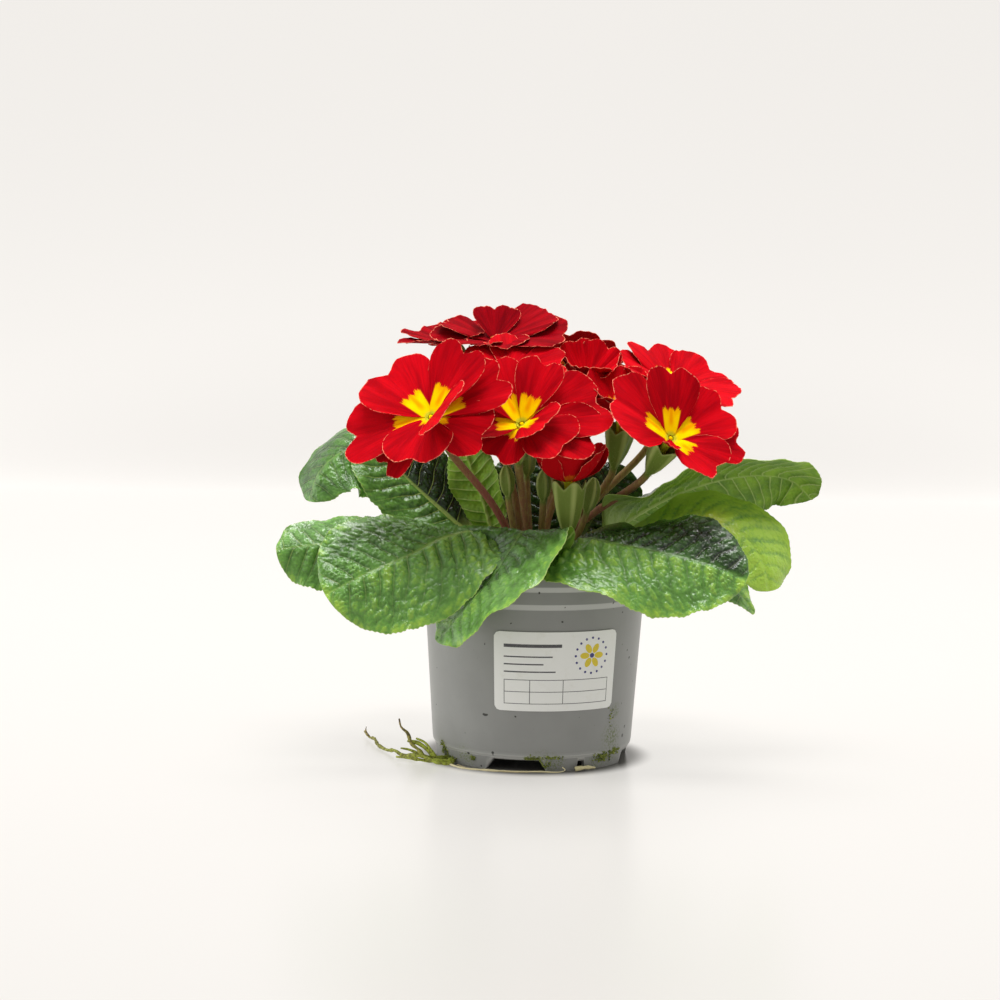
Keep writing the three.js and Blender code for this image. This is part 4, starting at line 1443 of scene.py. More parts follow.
@dataclass(frozen=True)
class Leaf:
    """One leaf: a round stem that stands in the soil and widens into a puckered, toothed blade.

    path: the midrib's stops. width: the blade at its widest. bare: the share of the path that is
    stem. roll: the turn of the blade about its midrib, degrees, that lifts its right side as seen
    from its foot, reached after the share roll_by of the blade. fold: how far both halves hang below
    the midrib, degrees. wave: the margin's waves. foot and tip shape the outline. sag: the droop of
    the margins. heel: how much wider the left and the right half are near the foot. shade_line: where
    the line between the two halves' tones, the painted edge of a shade, crosses the midrib, mm along
    it, and how far it moves to the right for each mm. rib: how pale the midrib and veins are. pitch:
    the side veins' spacing. relief: the height of the bulges between them. tones_and_shade: how light
    the left and the right half are, from 0 to 1; a low value paints the shade that a half lies in as
    well as its own tone. yellowed: where it has turned yellow, as mm along, mm across and radius.
    """

    name: str
    path: tuple[Point, ...]
    width: float
    bare: float
    roll: float
    roll_by: float = 0.45
    fold: float = 8.0
    wave: float = 2.0
    foot: float = 0.9
    tip: float = 0.5
    sag: float = 0.1
    heel: Span = (0.0, 0.0)
    shade_line: Span = (0.0, 0.0)
    rib: float = 0.5
    pitch: float = 6.4
    relief: float = 1.0
    tones_and_shade: Span = (0.45, 0.45)
    yellowed: Point | None = None
    rows: int = 90
    columns: int = 60

    STEM_RADIUS = 2.3
    FLESH = 0.45  # the blade's thickness
    TOOTH = 2.3  # from one tooth of the margin to the next
    VEIN_SWEEP = (0.42, 0.006)  # how far a side vein runs on for each mm across, and its square
    SECTIONS = (0, 0.16, 0.33, 0.5, 0.66, 0.81, 0.93, 1)  # where the solid's sections carry its wave
    STEM_ROWS = 16

    def outline(self, s: Array) -> Array:
        """The half width along the blade, from the stem's radius at its foot to a round tip: the
        share s to the power foot times (1 - s) to the power tip, brought to 1 at its peak.

        Args:
            s: shares of the blade's length.

        Returns:
            The half widths in mm.
        """
        peak = self.foot / (self.foot + self.tip)
        share = s**self.foot * (1 - s) ** self.tip / (peak**self.foot * (1 - peak) ** self.tip)
        stem = self.STEM_RADIUS * np.sqrt(np.maximum(0.0, 1 - s**10))
        return np.maximum(stem + (self.width / 2 - self.STEM_RADIUS) * share, 0.12)

    def relief_at(self, along: Array, across: Array, edge: Array, seed: int) -> tuple[Array, Array, Array]:
        """The puckering between the veins.

        Side veins leave the midrib every pitch and sweep towards the tip: the count of veins passed
        is the distance along, less the sweep for the distance across and its square, over the pitch,
        shifted half a pitch from one side to the other. The flesh stands up between them as the sine
        of pi times the count, beaded by cells 2 mm wide, and away from the midrib cells 4 mm wide
        take over. A trough 1.2 mm wide and 0.6 mm deep follows the midrib.

        Args:
            along: mm along the blade from its foot.
            across: mm from the midrib, negative to the left.
            edge: mm to the margin.
            seed: shifts the noise.

        Returns:
            The count of veins passed, the height in mm and the height as a share.
        """
        side = np.abs(across)
        sweep, curl = self.VEIN_SWEEP
        run = along - sweep * side - curl * side**2 + 1.1 * value_noise(along / 8.0, across / 8.0, seed)
        passed = run / self.pitch + 0.25 * np.tanh(across / 0.6)
        ridge = np.abs(np.sin(np.pi * passed)) ** 0.75
        big = smoothstep(cell_walls(run / 4.0, across / 4.4, seed), 0.0, 0.9)
        small = smoothstep(cell_walls(run / 2.3, across / 2.1, seed + 4), 0.0, 0.7)
        far = smoothstep(side + 4 * value_noise(along / 9.0, across / 9.0, seed + 8), 5.0, 17.0)
        beads = ridge * (0.5 + 0.5 * small)
        cells = (0.4 + 0.6 * ridge) * (0.35 + 0.65 * big) * (0.75 + 0.25 * small)
        share = mix(beads, cells, far)
        near = smoothstep(side, 0.8, 3.5) * (0.22 + 0.78 * smoothstep(edge, 1.0, 15.0))
        height = self.relief * (share - 0.4) * near - 0.6 * np.exp(-((across / 1.2) ** 2))
        return passed, height, share

    def skin(self, seed: int) -> Skin:
        """The leaf's skin as a closed sheet.

        Rows stand square to the midrib and columns run from the left margin to the right. A point
        lies its reach across the rolled row, and above it by the round of the stem or, on the blade,
        by the margin's wave less its sag and the fold, plus the puckering. The lower side lies below
        it by the flesh, and further under the midrib and the side veins.

        Args:
            seed: tells this leaf's noise from the others'.

        Returns:
            The skin.
        """
        start = (*self.path[0][:2], SOIL_TOP - ROOT_DEPTH)
        course = Course.through(np.array([start, *self.path]))
        stub = (ROOT_DEPTH + 1) / course.length
        # Rows crowd towards the tip, and columns a little towards the margins.
        s = 1 - (1 - np.linspace(0, 1, self.rows)) ** 1.45
        stem_rows = np.linspace(0, self.bare, self.STEM_ROWS, endpoint=False)
        u = np.concatenate([stem_rows, self.bare + s * (1 - self.bare)])[:, None]
        s = np.clip((u - self.bare) / (1 - self.bare), 0.0, 1.0)
        even = np.linspace(-1, 1, self.columns)[None, :]
        v = mix(np.sin(even * np.pi / 2), even, 0.75)
        centre, tangent = course.at(u[:, 0]), course.tangent(u[:, 0])
        heading = unit(np.array([*(np.array(self.path[-1]) - self.path[0])[:2], 0.0]))
        right = np.cross(heading, UP)
        side = unit(right - tangent * (tangent @ right)[:, None])
        normal = np.cross(side, tangent)
        turn = np.radians(self.roll) * smoothstep(u, stub, self.bare + self.roll_by * (1 - self.bare))
        across_way = (side * np.cos(turn) + normal * np.sin(turn))[:, None]
        up_way = (normal * np.cos(turn) - side * np.sin(turn))[:, None]
        blade = smoothstep(s, 0.0, 0.2)
        heel = smoothstep(s, 0.0, 0.1) * (1 - smoothstep(s, 0.12, 0.5))
        half = self.outline(s) + heel * mix(self.heel[0], self.heel[1], smoothstep(v, -0.2, 0.2))
        blade_length = course.length * (1 - self.bare)
        along = s * blade_length
        margin_run = np.cumsum(np.hypot(np.gradient(along[:, 0]), np.gradient(half[:, 0])))[:, None]
        tooth = 0.55 * np.abs((margin_run / self.TOOTH) % 1 * 2 - 1)
        tooth = tooth + 0.5 * value_noise(margin_run / 3.7, v * 0 + np.sign(v), seed)
        reach = v * half - np.sign(v) * np.abs(v) ** 14 * tooth * blade * np.minimum(1, half / 6)
        edge = np.minimum((1 - np.abs(v)) * half, (1 - s) * blade_length)
        number = 3 + np.interp(s, self.SECTIONS, np.arange(len(self.SECTIONS)))
        form = self.wave * np.abs(v) ** 3 * np.sin(2.1 * number + 2 * v)
        form = form + 0.6 * np.abs(v) ** 5 * np.sin(margin_run / 2.1 + seed + v)
        form = form * np.minimum(1, half / 12) - self.sag * reach**2 / (self.width / 2)
        passed, pucker, share = self.relief_at(along, reach, edge, seed)
        tilt = np.radians(self.fold) * blade
        stem_round = self.STEM_RADIUS * (0.06 + 0.94 * np.sqrt(np.maximum(0.0, 1 - v**2)))
        channel = 0.9 * np.exp(-((v / 0.45) ** 2)) * smoothstep(u, stub, self.bare)
        height = mix(stem_round - channel, form - np.abs(reach) * np.sin(tilt) + pucker, blade)
        vein = np.abs(passed - np.round(passed)) * self.pitch
        rib = mix(1.8, 0.5, s) * np.exp(-((reach / 1.3) ** 2))
        rib = rib + 0.35 * np.exp(-((vein / 0.6) ** 2)) * smoothstep(edge, 0, 6)
        thin = self.FLESH * (0.6 + 0.4 * smoothstep(edge, 0.0, 2.0))
        thickness = mix(2 * stem_round - channel, thin + rib, blade)
        top = centre[:, None] + across_way * (reach * np.cos(tilt))[..., None] + up_way * height[..., None]
        bottom = top - up_way * thickness[..., None]
        # Each half has its own tone, and a low one paints the shade that the half lies in; the line between the
        # halves is the painted edge of that shade.
        beyond = reach - self.shade_line[1] * (along - self.shade_line[0])
        tone = mix(*self.tones_and_shade, smoothstep(beyond, -2.5, 2.5))
        yellow = 0.0
        if self.yellowed is not None:
            at, off, radius = self.yellowed
            yellow = 1 - smoothstep(np.hypot(along - at, reach - off), 0.2 * radius, radius)
        return closed_sheet(top, bottom, {
            "leaf_a": (layers(passed, reach, along),) * 2,
            "leaf_b": (layers(edge, 1.0, tone), layers(edge, 0.0, tone)),
            "leaf_c": (layers(yellow, share, blade),) * 2,
            "leaf_d": (layers(self.rib, s, np.ones_like(reach)),) * 2,
        })


@dataclass(frozen=True)
class LeafRosette:
    """All the leaves, which spring from the crown in the soil."""

    leaves: tuple[Leaf, ...]

    def build(self) -> None:
        """Makes one piece for each leaf."""
        flesh = LeafFlesh("primrose_leaf_flesh")
        for seed, leaf in enumerate(self.leaves):
            make_piece(f"{leaf.name}_blade", [leaf.skin(10 * seed + 3)], flesh, leaf.name)


# Low tones paint shade as well as colour: leaf_inner_right and leaf_inner_back lie in shade among the stalks,
# one half of leaf_front_right and of leaf_upright_left is shaded, and leaf_front is shaded beyond the line set
# for it.
LEAVES = (
    Leaf("leaf_front_left", ((-14, -13, 84), (-17, -17, 97), (-26, -27, 106), (-41, -42, 105), (-56, -53, 98),
                             (-71, -60, 92), (-83, -64, 86), (-92, -66, 81)),
         66, 0.14, 48, 0.837, foot=0.9, tip=0.5, heel=(5.0, 0.0), rib=0.45, pitch=7.5, relief=3.2,
         tones_and_shade=(0.68, 0.54), rows=168, columns=112),
    Leaf("leaf_front", ((-4, -20, 84), (-4, -25, 98), (-6, -36, 108), (-11, -48, 102), (-20, -56, 89),
                        (-32, -60, 75), (-44, -60, 61)),
         54, 0.1, -16, 0.9, fold=4, foot=0.5, heel=(0.0, 6.0), shade_line=(66.0, 0.82), rib=0.12, pitch=6.0,
         relief=1.5, tones_and_shade=(0.62, 0.36), rows=120, columns=84),
    Leaf("leaf_left", ((-20, -6, 84), (-28, -9, 94), (-50, -17, 99), (-76, -21, 100), (-98, -22, 99),
                       (-118, -22, 96)),
         44, 0.4, 52, fold=22, rib=0.5, relief=1.7, tones_and_shade=(0.56, 0.5), rows=108, columns=74),
    Leaf("leaf_upper_left", ((-18, 9, 84), (-30, 14, 104), (-50, 20, 125), (-72, 22, 138), (-90, 20, 139),
                             (-102, 17, 129), (-107, 15, 115)),
         45, 0.3, 48, fold=18, rib=0.35, relief=1.6, tones_and_shade=(0.5, 0.34), rows=108, columns=74),
    Leaf("leaf_upright_left", ((-20, 1, 84), (-26, 1, 97), (-40, 1, 110), (-56, 2, 124), (-70, 4, 138),
                               (-77, 6, 148)),
         44, 0.25, 62, fold=-12, rib=0.85, relief=2.4, tones_and_shade=(0.5, 0.02), rows=112, columns=76),
    Leaf("leaf_inner_left", ((-15, -1, 84), (-18, 0, 100), (-24, 0, 118), (-30, 1, 134), (-35, 2, 147)),
         25, 0.16, -75, rib=0.12, relief=2.4, pitch=5.0, tones_and_shade=(0.68, 0.8), rows=110, columns=64),
    Leaf("leaf_front_right", ((13, -16, 84), (15, -21, 98), (21, -34, 105), (34, -46, 104), (50, -53, 102),
                              (66, -58, 99), (81, -61, 95), (92, -61, 90)),
         62, 0.12, -44, 0.8, foot=0.6, heel=(9.0, 10.0), rib=0.12, pitch=7.6, relief=3.0, tones_and_shade=(0.16, 0.7),
         rows=168, columns=112),
    Leaf("leaf_under_right", ((20, -9, 84), (22, -11, 92), (34, -20, 97), (54, -33, 97), (73, -43, 93),
                              (88, -49, 85), (97, -51, 74)),
         23, 0.45, -20, tip=1.0, relief=0.8, tones_and_shade=(0.7, 0.5)),
    Leaf("leaf_hanging_right", ((21, -2, 84), (34, -3, 98), (56, -6, 109), (78, -9, 112), (96, -13, 104),
                                (105, -17, 91), (107, -19, 80)),
         44, 0.3, -50, rib=0.25, relief=0.8, tones_and_shade=(0.95, 1.0), yellowed=(40.0, 8.0, 18.0)),
    Leaf("leaf_upper_right", ((20, 5, 84), (34, 8, 103), (56, 10, 118), (80, 12, 128), (104, 14, 132),
                              (121, 17, 129), (131, 19, 120)),
         58, 0.2, 38, 0.1, fold=13, foot=0.5, heel=(2.0, 20.0), rib=0.9, relief=1.5, tones_and_shade=(0.66, 0.45),
         rows=120, columns=84),
    Leaf("leaf_inner_right", ((17, 11, 84), (22, 15, 100), (33, 21, 117), (44, 25, 132)), 36, 0.15, -70,
         relief=2.4, pitch=5.0, rib=0.2, tones_and_shade=(0.05, 0.12)),
    Leaf("leaf_back_left", ((-12, 16, 84), (-22, 30, 102), (-42, 52, 112), (-62, 72, 106), (-76, 86, 90)),
         56, 0.22, 8, relief=2.0, tones_and_shade=(0.5, 0.6), rows=84, columns=56),
    Leaf("leaf_back", ((-3, 20, 84), (-3, 36, 100), (0, 60, 108), (4, 82, 100), (6, 97.7, 84)), 54, 0.22, -6,
         relief=2.0, tones_and_shade=(0.55, 0.5), rows=84, columns=56),
    Leaf("leaf_back_right", ((12, 16, 84), (24, 30, 104), (44, 48, 116), (66, 64, 112), (82, 76, 98)),
         56, 0.22, -8, relief=2.0, tones_and_shade=(0.5, 0.6), rows=84, columns=56),
    Leaf("leaf_inner_back", ((5, 17, 84), (5, 24, 104), (5, 31, 126), (5, 36, 142)), 62, 0.15, 0, foot=0.6,
         rib=0.2, relief=2.4, pitch=5.0, tones_and_shade=(0.12, 0.2), rows=90, columns=64),
)


# ---------------- blooms and buds


@dataclass(frozen=True)
class Petal:
    """One heart-shaped petal.

    angle: where its middle points on the bloom's face, degrees from the bloom's right. reach: from
    eye to margin. spread: half of its fan, degrees. lift: its rise off the face at the eye, and bend
    the change of that rise by its margin, degrees. left and right: how far its two sides turn up by
    their edges, degrees. tilt: how far its left side lies above its right, degrees. notch: depth of
    the dip in its margin, as a share of its reach. star: how far the yellow reaches, as a share.
    ruffle: how high the ruffles by its margin stand.
    """

    angle: float
    reach: float
    spread: float = 46.0
    lift: float = 8.0
    bend: float = -16.0
    left: float = 14.0
    right: float = 14.0
    tilt: float = 5.0
    notch: float = 0.13
    star: float = 0.42
    ruffle: float = 0.9

    THROAT = 1.5
    THICKNESS = 0.34
    NOTCH_WIDTH = 0.17

    def skin(self, eye: Array, axes: Array, seed: int, rows: int = 24, columns: int = 29) -> Skin:
        """The petal's skin as a closed sheet.

        On the flat petal a point lies at a fan angle v times the spread, at a share t of the fan's
        length there: the reach times (0.35 + 0.65 of the root of 1 less v to the power 3.2), less the
        notch. The sides then turn up on a circle, the length bends on another, and ruffles grow
        towards the margin.

        Args:
            eye: the bloom's eye.
            axes: its right, up and facing directions.
            seed: tells this petal's ruffles from the others'.
            rows: rows of points from eye to margin.
            columns: points in a row.

        Returns:
            The skin.
        """
        even = np.linspace(-1, 1, columns)[None, :]
        v = mix(np.sin(even * np.pi / 2), even, 0.55)
        t = 1 - (1 - np.linspace(0, 1, rows)[:, None]) ** 1.25
        wobble = 0.02 * value_noise(v * 4.0, v * 0 + seed, seed)
        wobble = wobble + 0.012 * value_noise(v * 13.0, v * 0, seed + 3)
        fan_length = 0.35 + 0.65 * np.sqrt(np.maximum(0.0, 1 - np.abs(v) ** 3.2))
        fan_length = fan_length * (1 - self.notch * np.exp(-((v / self.NOTCH_WIDTH) ** 2)))
        fan_length = self.reach * (fan_length + wobble * (1 - v**4))
        away = self.THROAT + (fan_length - self.THROAT) * t
        fan = np.radians(self.spread) * v
        x, y = away * np.cos(fan), away * np.sin(fan)
        far = x / self.reach
        turn = np.radians(np.where(y > 0, self.left, self.right)) * (0.2 + 0.8 * smoothstep(far, 0.05, 0.6))
        tight = np.where(np.abs(turn) < 1e-3, 1e-3, turn) / (0.55 * self.reach)
        aside = np.sign(y) * np.sin(tight * np.abs(y)) / tight
        rise = (1 - np.cos(tight * np.abs(y))) / tight
        rise = rise + y * math.tan(math.radians(self.tilt)) * smoothstep(far, 0.0, 0.5)
        rise = rise - 0.9 * np.exp(-((y / 2.4) ** 2)) * smoothstep(far, 0.15, 0.7) * (1 - 0.5 * far)
        ruffles = value_noise(v * 3.1 + seed, t * 1.2, seed + 5)
        ruffles = ruffles + 0.45 * value_noise(v * 8.0, t * 2.0 + seed, seed + 6)
        rise = rise + self.ruffle * t**3 * ruffles
        rise = rise + 0.22 * t**9 * np.sin(46 * v + seed)
        lift, bend = math.radians(self.lift), math.radians(self.bend if abs(self.bend) > 0.5 else 0.5)
        slope = lift + bend * far
        out = self.reach / bend * (np.sin(slope) - math.sin(lift))
        high = self.reach / bend * (math.cos(lift) - np.cos(slope))
        out, high = out - np.sin(slope) * rise, high + np.cos(slope) * rise
        angle = math.radians(self.angle)
        outward = axes[0] * math.cos(angle) + axes[1] * math.sin(angle)
        sideways = axes[1] * math.cos(angle) - axes[0] * math.sin(angle)
        top = eye + out[..., None] * outward + aside[..., None] * sideways + high[..., None] * axes[2]
        normal = unit(np.cross(np.gradient(top, axis=0), np.gradient(top, axis=1)))
        thickness = self.THICKNESS * (1.2 - 0.6 * t)
        bottom = top - normal * (thickness * np.ones_like(v))[..., None]
        # Near the eye the petals are joined, so no pale margin shows there.
        joined = 3 * (1 - smoothstep(far, 0.3, 0.5))
        beside = away * np.radians(self.spread) * (1 - np.abs(v)) + joined
        edge = np.minimum((1 - t) * fan_length, beside)
        return closed_sheet(top, bottom, {
            "petal_a": (layers(x, y, self.star * self.reach),) * 2,
            "petal_b": (layers(edge, 1.0, 7.3 * seed), layers(edge, 0.0, 7.3 * seed)),
        })


def mouth_fields(rings: Array, along: Array, aside: float) -> Fields:
    """The petal's fields in a bloom's mouth, all yellow or green and far from a margin."""
    flat = np.ones(rings.shape[:2])
    return {"petal_a": layers(along * flat, aside, 20.0), "petal_b": layers(9.0 * flat, 1.0, 1.0)}


DOWNY = DownyStalk("downy_stalk_and_calyx")
VELVET = PetalVelvet("primrose_petal_velvet")
SHADED = PetalVelvet("shaded_petal_velvet", crimson="#8f0410", deep="#4c0208")


@dataclass(frozen=True)
class Bloom:
    """One flower: its petals on a tube, on a ridged calyx, on a stalk that stands in the soil.

    eye: where its petals meet. root: where its stalk enters the soil. flush: how brown-red the stalk
    is, from 0 to 1. sepals: how much longer than CALYX its calyx is up to the bays between its tips.
    """

    name: str
    eye: Point
    facing: Point
    root: Span
    petals: tuple[Petal, ...]
    velvet: PetalVelvet = VELVET
    flush: float = 0.8
    sepals: float = 3.6

    STALK_RADIUS = 1.7
    EYE_TO_BASE = 24.0
    CALYX = 15.5
    CALYX_FLOOR = 4.0
    TIPS = 3.6
    LEVELS = (0, 3, 8, 14, 22)  # heights at which the cup's radius and ridges are set
    CUP = (1.9, 3.2, 4.9, 6.3, 7.7)
    RIDGES = (0.0, 0.35, 0.6, 0.6, 0.1)

    @property
    def axes(self) -> Array:
        """The bloom's right, up and facing directions.

        Returns:
            One direction in each row.
        """
        n = unit(np.array(self.facing, float))
        up = unit(UP - n * n[2])
        return np.stack([np.cross(up, n), up, n])

    def tube_skin(self) -> Skin:
        """The corolla tube: rings from the calyx up to a flared mouth, which is dished and closed, with
        five flutes in it as the cosine of five times the angle.

        Returns:
            The skin.
        """
        levels = np.array([(-self.EYE_TO_BASE + self.CALYX_FLOOR + 0.3, 1.5), (-12, 1.6), (-3, 1.8),
                           (-0.6, 2.2), (0.25, 2.7), (0.55, 2.5), (0.35, 2.0), (-0.5, 1.5), (-1.6, 1.2),
                           (-1.9, 0.4)])
        right, up, n = self.axes
        high, radius = levels[:, :1, None], levels[:, 1:, None]
        in_mouth = (np.arange(len(levels)) > 2)[:, None, None]
        fluted = 1 + 0.07 * np.cos(10 * np.pi * np.arange(28) / 28)[None, :, None] * in_mouth
        rings = np.array(self.eye) + high * n + around(right, up, 28) * radius * fluted
        return closed_loft(rings, mouth_fields(rings, 0.6 * levels[:, 1:], 0.0))

    def stigma_skin(self) -> Skin:
        """The pale stigma that shows in the mouth: a small flattened bead of rings.

        Returns:
            The skin.
        """
        lat = np.linspace(-1.35, 1.35, 7)[:, None, None]
        right, up, n = self.axes
        middle = np.array(self.eye) + n * 0.1
        rings = middle + around(right, up, 12) * (1.05 * np.cos(lat)) + 0.8 * np.sin(lat) * n
        return closed_loft(rings, mouth_fields(rings, 3.9, 2.0))

    def stalk_rings(self, target: Array, way: Array, radius: float, shares: Array, sides: int) -> Array:
        """Rings of a round stalk on a Bezier course from the soil, a little thicker at its foot.

        Args:
            target: where it ends.
            way: the direction in which it gets there.
            radius: its radius.
            shares: where the rings stand, as shares of its length.
            sides: points in a ring.

        Returns:
            The rings, with one more that stands in the soil before them.
        """
        foot = np.array([*self.root, SOIL_TOP + 1])
        reach = np.linalg.norm(target - foot)
        course = Course.bezier(foot, foot + UP * 0.4 * reach, target - way * 0.3 * reach, target)
        ways = around(*square_to(course.tangent(shares)), sides)
        bulge = 1 + 0.18 * np.exp(-((shares / 0.05) ** 2))
        rings = course.at(shares)[:, None] + ways * (radius * bulge)[:, None, None]
        first = np.array([*self.root, SOIL_TOP - ROOT_DEPTH]) + radius * around(*square_to(UP), sides)
        return np.concatenate([first[None], rings])

    def stalk_skin(self, sides: int = 50) -> tuple[Skin, Array, Array]:
        """The stalk and its calyx in one skin.

        The calyx is a cup whose radius follows LEVELS, with five ridges as the cosine of five times
        the azimuth, and whose edge rises from the bays to five pointed tips. Its wall turns over at
        the edge and goes down inside to its floor.

        Args:
            sides: points in a ring.

        Returns:
            The skin, and its outer points and directions for the down.
        """
        n = self.axes[2]
        base = np.array(self.eye) - n * self.EYE_TO_BASE
        ways = around(*square_to(n), sides)
        turn = 2 * np.pi * np.arange(sides) / sides
        shares = np.linspace(0, 0.985, 26)
        stalk = self.stalk_rings(base, n, self.STALK_RADIUS, shares, sides)
        lobe = np.abs(np.cos(2.5 * turn)) ** 1.3
        climb = np.linspace(0, 1, 26)[:, None]
        height = climb * (self.CALYX + self.sepals + self.TIPS * lobe)[None, :]
        ridge = np.cos(5 * turn)[None, :]
        outer = np.interp(height, self.LEVELS, self.CUP)
        outer = outer + ridge * np.interp(height, self.LEVELS, self.RIDGES)
        inner = np.maximum(outer - (0.85 - 0.35 * climb), 2.3)
        cup, lining = (base + height[..., None] * n + ways * r[..., None] for r in (outer, inner))
        lining = lining[(height > self.CALYX_FLOOR + 0.2).all(1)][::-1]
        floor = (base + self.CALYX_FLOOR * n + ways * 2.2)[None]
        rings = np.concatenate([stalk, cup, lining, floor])
        up_stalk = np.concatenate([[0.0], shares])[:, None]
        flushed = self.flush * (1 - 0.25 * smoothstep(up_stalk, 0.5, 1.0))
        pale = smoothstep(ridge, 0.55, 1.0) * 0.9 + 0.5 * smoothstep(climb, 0.93, 1.0)
        ones = np.ones((1, sides))
        stalk_a = np.concatenate([
            layers(flushed, 0.0, smoothstep(up_stalk, 0.93, 1.0) * ones),
            layers(0.3, pale, 1.0),
            layers(0.3, 0.3, np.ones((len(lining) + 1, sides))),
        ])
        outside = rings[2 : len(stalk) + len(cup)]
        outwards = unit(outside - outside.mean(1, keepdims=True))
        return closed_loft(rings, {"stalk_a": stalk_a}), outside.reshape(-1, 3), outwards.reshape(-1, 3)

    def down_skin(self, points: Array, ways: Array, seed: int, count: int = 420) -> Skin:
        """Fine hairs that stand out of the stalk and calyx at drawn places.

        Args:
            points: the places to draw from.
            ways: the direction outwards at each.
            seed: for the draw.
            count: how many hairs.

        Returns:
            The skin.
        """
        random = np.random.default_rng(seed)
        chosen = random.choice(len(points), count, replace=False)
        lean = unit(ways[chosen] + 0.35 * random.normal(size=(count, 3)))
        fields = {"stalk_a": np.tile([0.15, 1.0, 1.0], (count, 1))}
        return spikes(points[chosen], lean, random.uniform(0.5, 1.2, count), 0.045, fields)

    def build(self, seed: int) -> None:
        """Makes the corolla and the stalk.

        Args:
            seed: the bloom's own, for its petals and its down.
        """
        eye, axes = np.array(self.eye), self.axes
        skins = [petal.skin(eye, axes, seed + k) for k, petal in enumerate(self.petals)]
        corolla = [*skins, self.tube_skin(), self.stigma_skin()]
        make_piece(f"{self.name}_corolla", corolla, self.velvet, f"{self.name}_petals")
        stalk, points, ways = self.stalk_skin()
        skins = [stalk, self.down_skin(points, ways, seed)]
        make_piece(f"{self.name}_stalk", skins, DOWNY, f"{self.name}_stem")


def whorl(reach: float, spin: float, lift: float, bend: float = -16.0,
          **others: float) -> tuple[Petal, ...]:
    """Five petals of one size set evenly round the eye, starting at an angle."""
    return tuple(Petal(spin + 72 * k, reach, lift=lift, bend=bend, **others) for k in range(5))


BLOOMS = (
    Bloom("bloom_front_left", (-47.5, -50, 158.3), (-0.28, -0.76, 0.58), (-9, -6.5), (
        Petal(65, 36.5, 34, 27, -16, left=16, right=16),
        Petal(141, 38, 45, 11, -16, left=10, right=12),
        Petal(195, 42.6, 40, 2, -18),
        Petal(228, 32.3, 36, -6, -18),
        Petal(266, 28.3, 60, 14, -10, left=16, right=10, star=0.2),
        Petal(36, 39, 33, 9, -12),
        Petal(344, 30, 44, 2, -12, star=0.3),
        Petal(334, 31.4, 46, 54, -10, left=4, right=4, star=0.1),
    ), flush=1.0),
    Bloom("bloom_front", (-7.5, -44, 155.5), (0.03, -0.7, 0.71), (-2, -10), (
        Petal(68, 33, 29, 34, -16),
        Petal(120, 35, 40, 22, -12),
        Petal(182, 28, 42, 4, -20, left=50),
        Petal(232, 22, 50, -4, -20),
        Petal(318, 21, 62, 44, -10, left=8, right=8),
        Petal(318, 28, 50, 16, -10, star=0.3),
        Petal(345, 36, 40, 10, -16),
        Petal(18, 41, 42, 12, -14),
    ), flush=0.75),
    Bloom("bloom_front_right", (58.3, -44, 150.3), (0.34, -0.66, 0.67), (10, -5), (
        Petal(150, 37, 58, 24, -12, left=10, right=10),
        Petal(84, 33, 40, 38, -10),
        Petal(22, 35, 38, 18, -12),
        Petal(354, 37, 31, 8, -14),
        Petal(308, 28, 46, 14, -10, right=30),
        Petal(240, 12, 34, 10, 40, left=30, right=30, notch=0.0, star=0.05),
    ), flush=0.85),
    Bloom("bloom_top", (-20, 14, 190.6), (0, -0.3, 0.95), (-5.4, 6), (
        Petal(113, 20.5, 29, 44, -8, left=10, right=2, notch=0.0, star=0.16, ruffle=0.4),
        Petal(67, 21.5, 29, 41, -8, left=2, right=10, notch=0.0, star=0.16, ruffle=0.4),
        Petal(28, 32, 40, 29, -16, left=26, notch=0.04, star=0.06),
        Petal(350, 35, 44, 20, -20, left=30, notch=0.06, star=0.06),
        Petal(156, 29, 36, 22, -16, right=26, star=0.06),
        Petal(192, 31, 42, 14, -14, right=30, star=0.06),
        Petal(240, 17, 50, 20, -14, star=0.1),
        Petal(300, 20, 50, 20, -14, star=0.1),
    ), SHADED, flush=0.7),
    Bloom("bloom_middle_left", (-14, -12, 177.5), (-0.08, -0.5, 0.87), (-3.4, -1.2),
          whorl(28, 82, 14, star=0.12), flush=0.7),
    Bloom("bloom_back", (20, 45, 178.5), (0.15, 0.5, 0.85), (4.3, 10.2),
          whorl(25, 88, 22, -14, spread=52.0), flush=0.6),
    Bloom("bloom_middle_right", (22.5, 4, 174), (0.1, -0.45, 0.89), (2.5, 4.4),
          whorl(21, 40, 40, 14, spread=50.0, ruffle=1.6, star=0.12), flush=0.6),
    Bloom("bloom_right", (63.5, 12, 171), (0.3, -0.35, 0.89), (12.8, 3),
          whorl(32, 12, 22, spread=50.0), flush=0.6),
    Bloom("bloom_low_right", (38, -14, 157), (0.1, -0.4, 0.92), (7, 0),
          whorl(27, 35, 50, -12, spread=50.0), flush=0.7),
    Bloom("bloom_half_open", (14, -34, 129.5), (0.0, -0.1, 0.99), (4.2, -11.4),
          whorl(25, 54, 18, 56, spread=50.0, left=30.0, right=30.0), flush=0.5, sepals=6.0),
    Bloom("bloom_left", (-40, 36, 189), (-0.15, -0.18, 0.97), (-11.6, 3.2),
          whorl(28, 30, 20, -12, star=0.1), SHADED, flush=0.7),
)


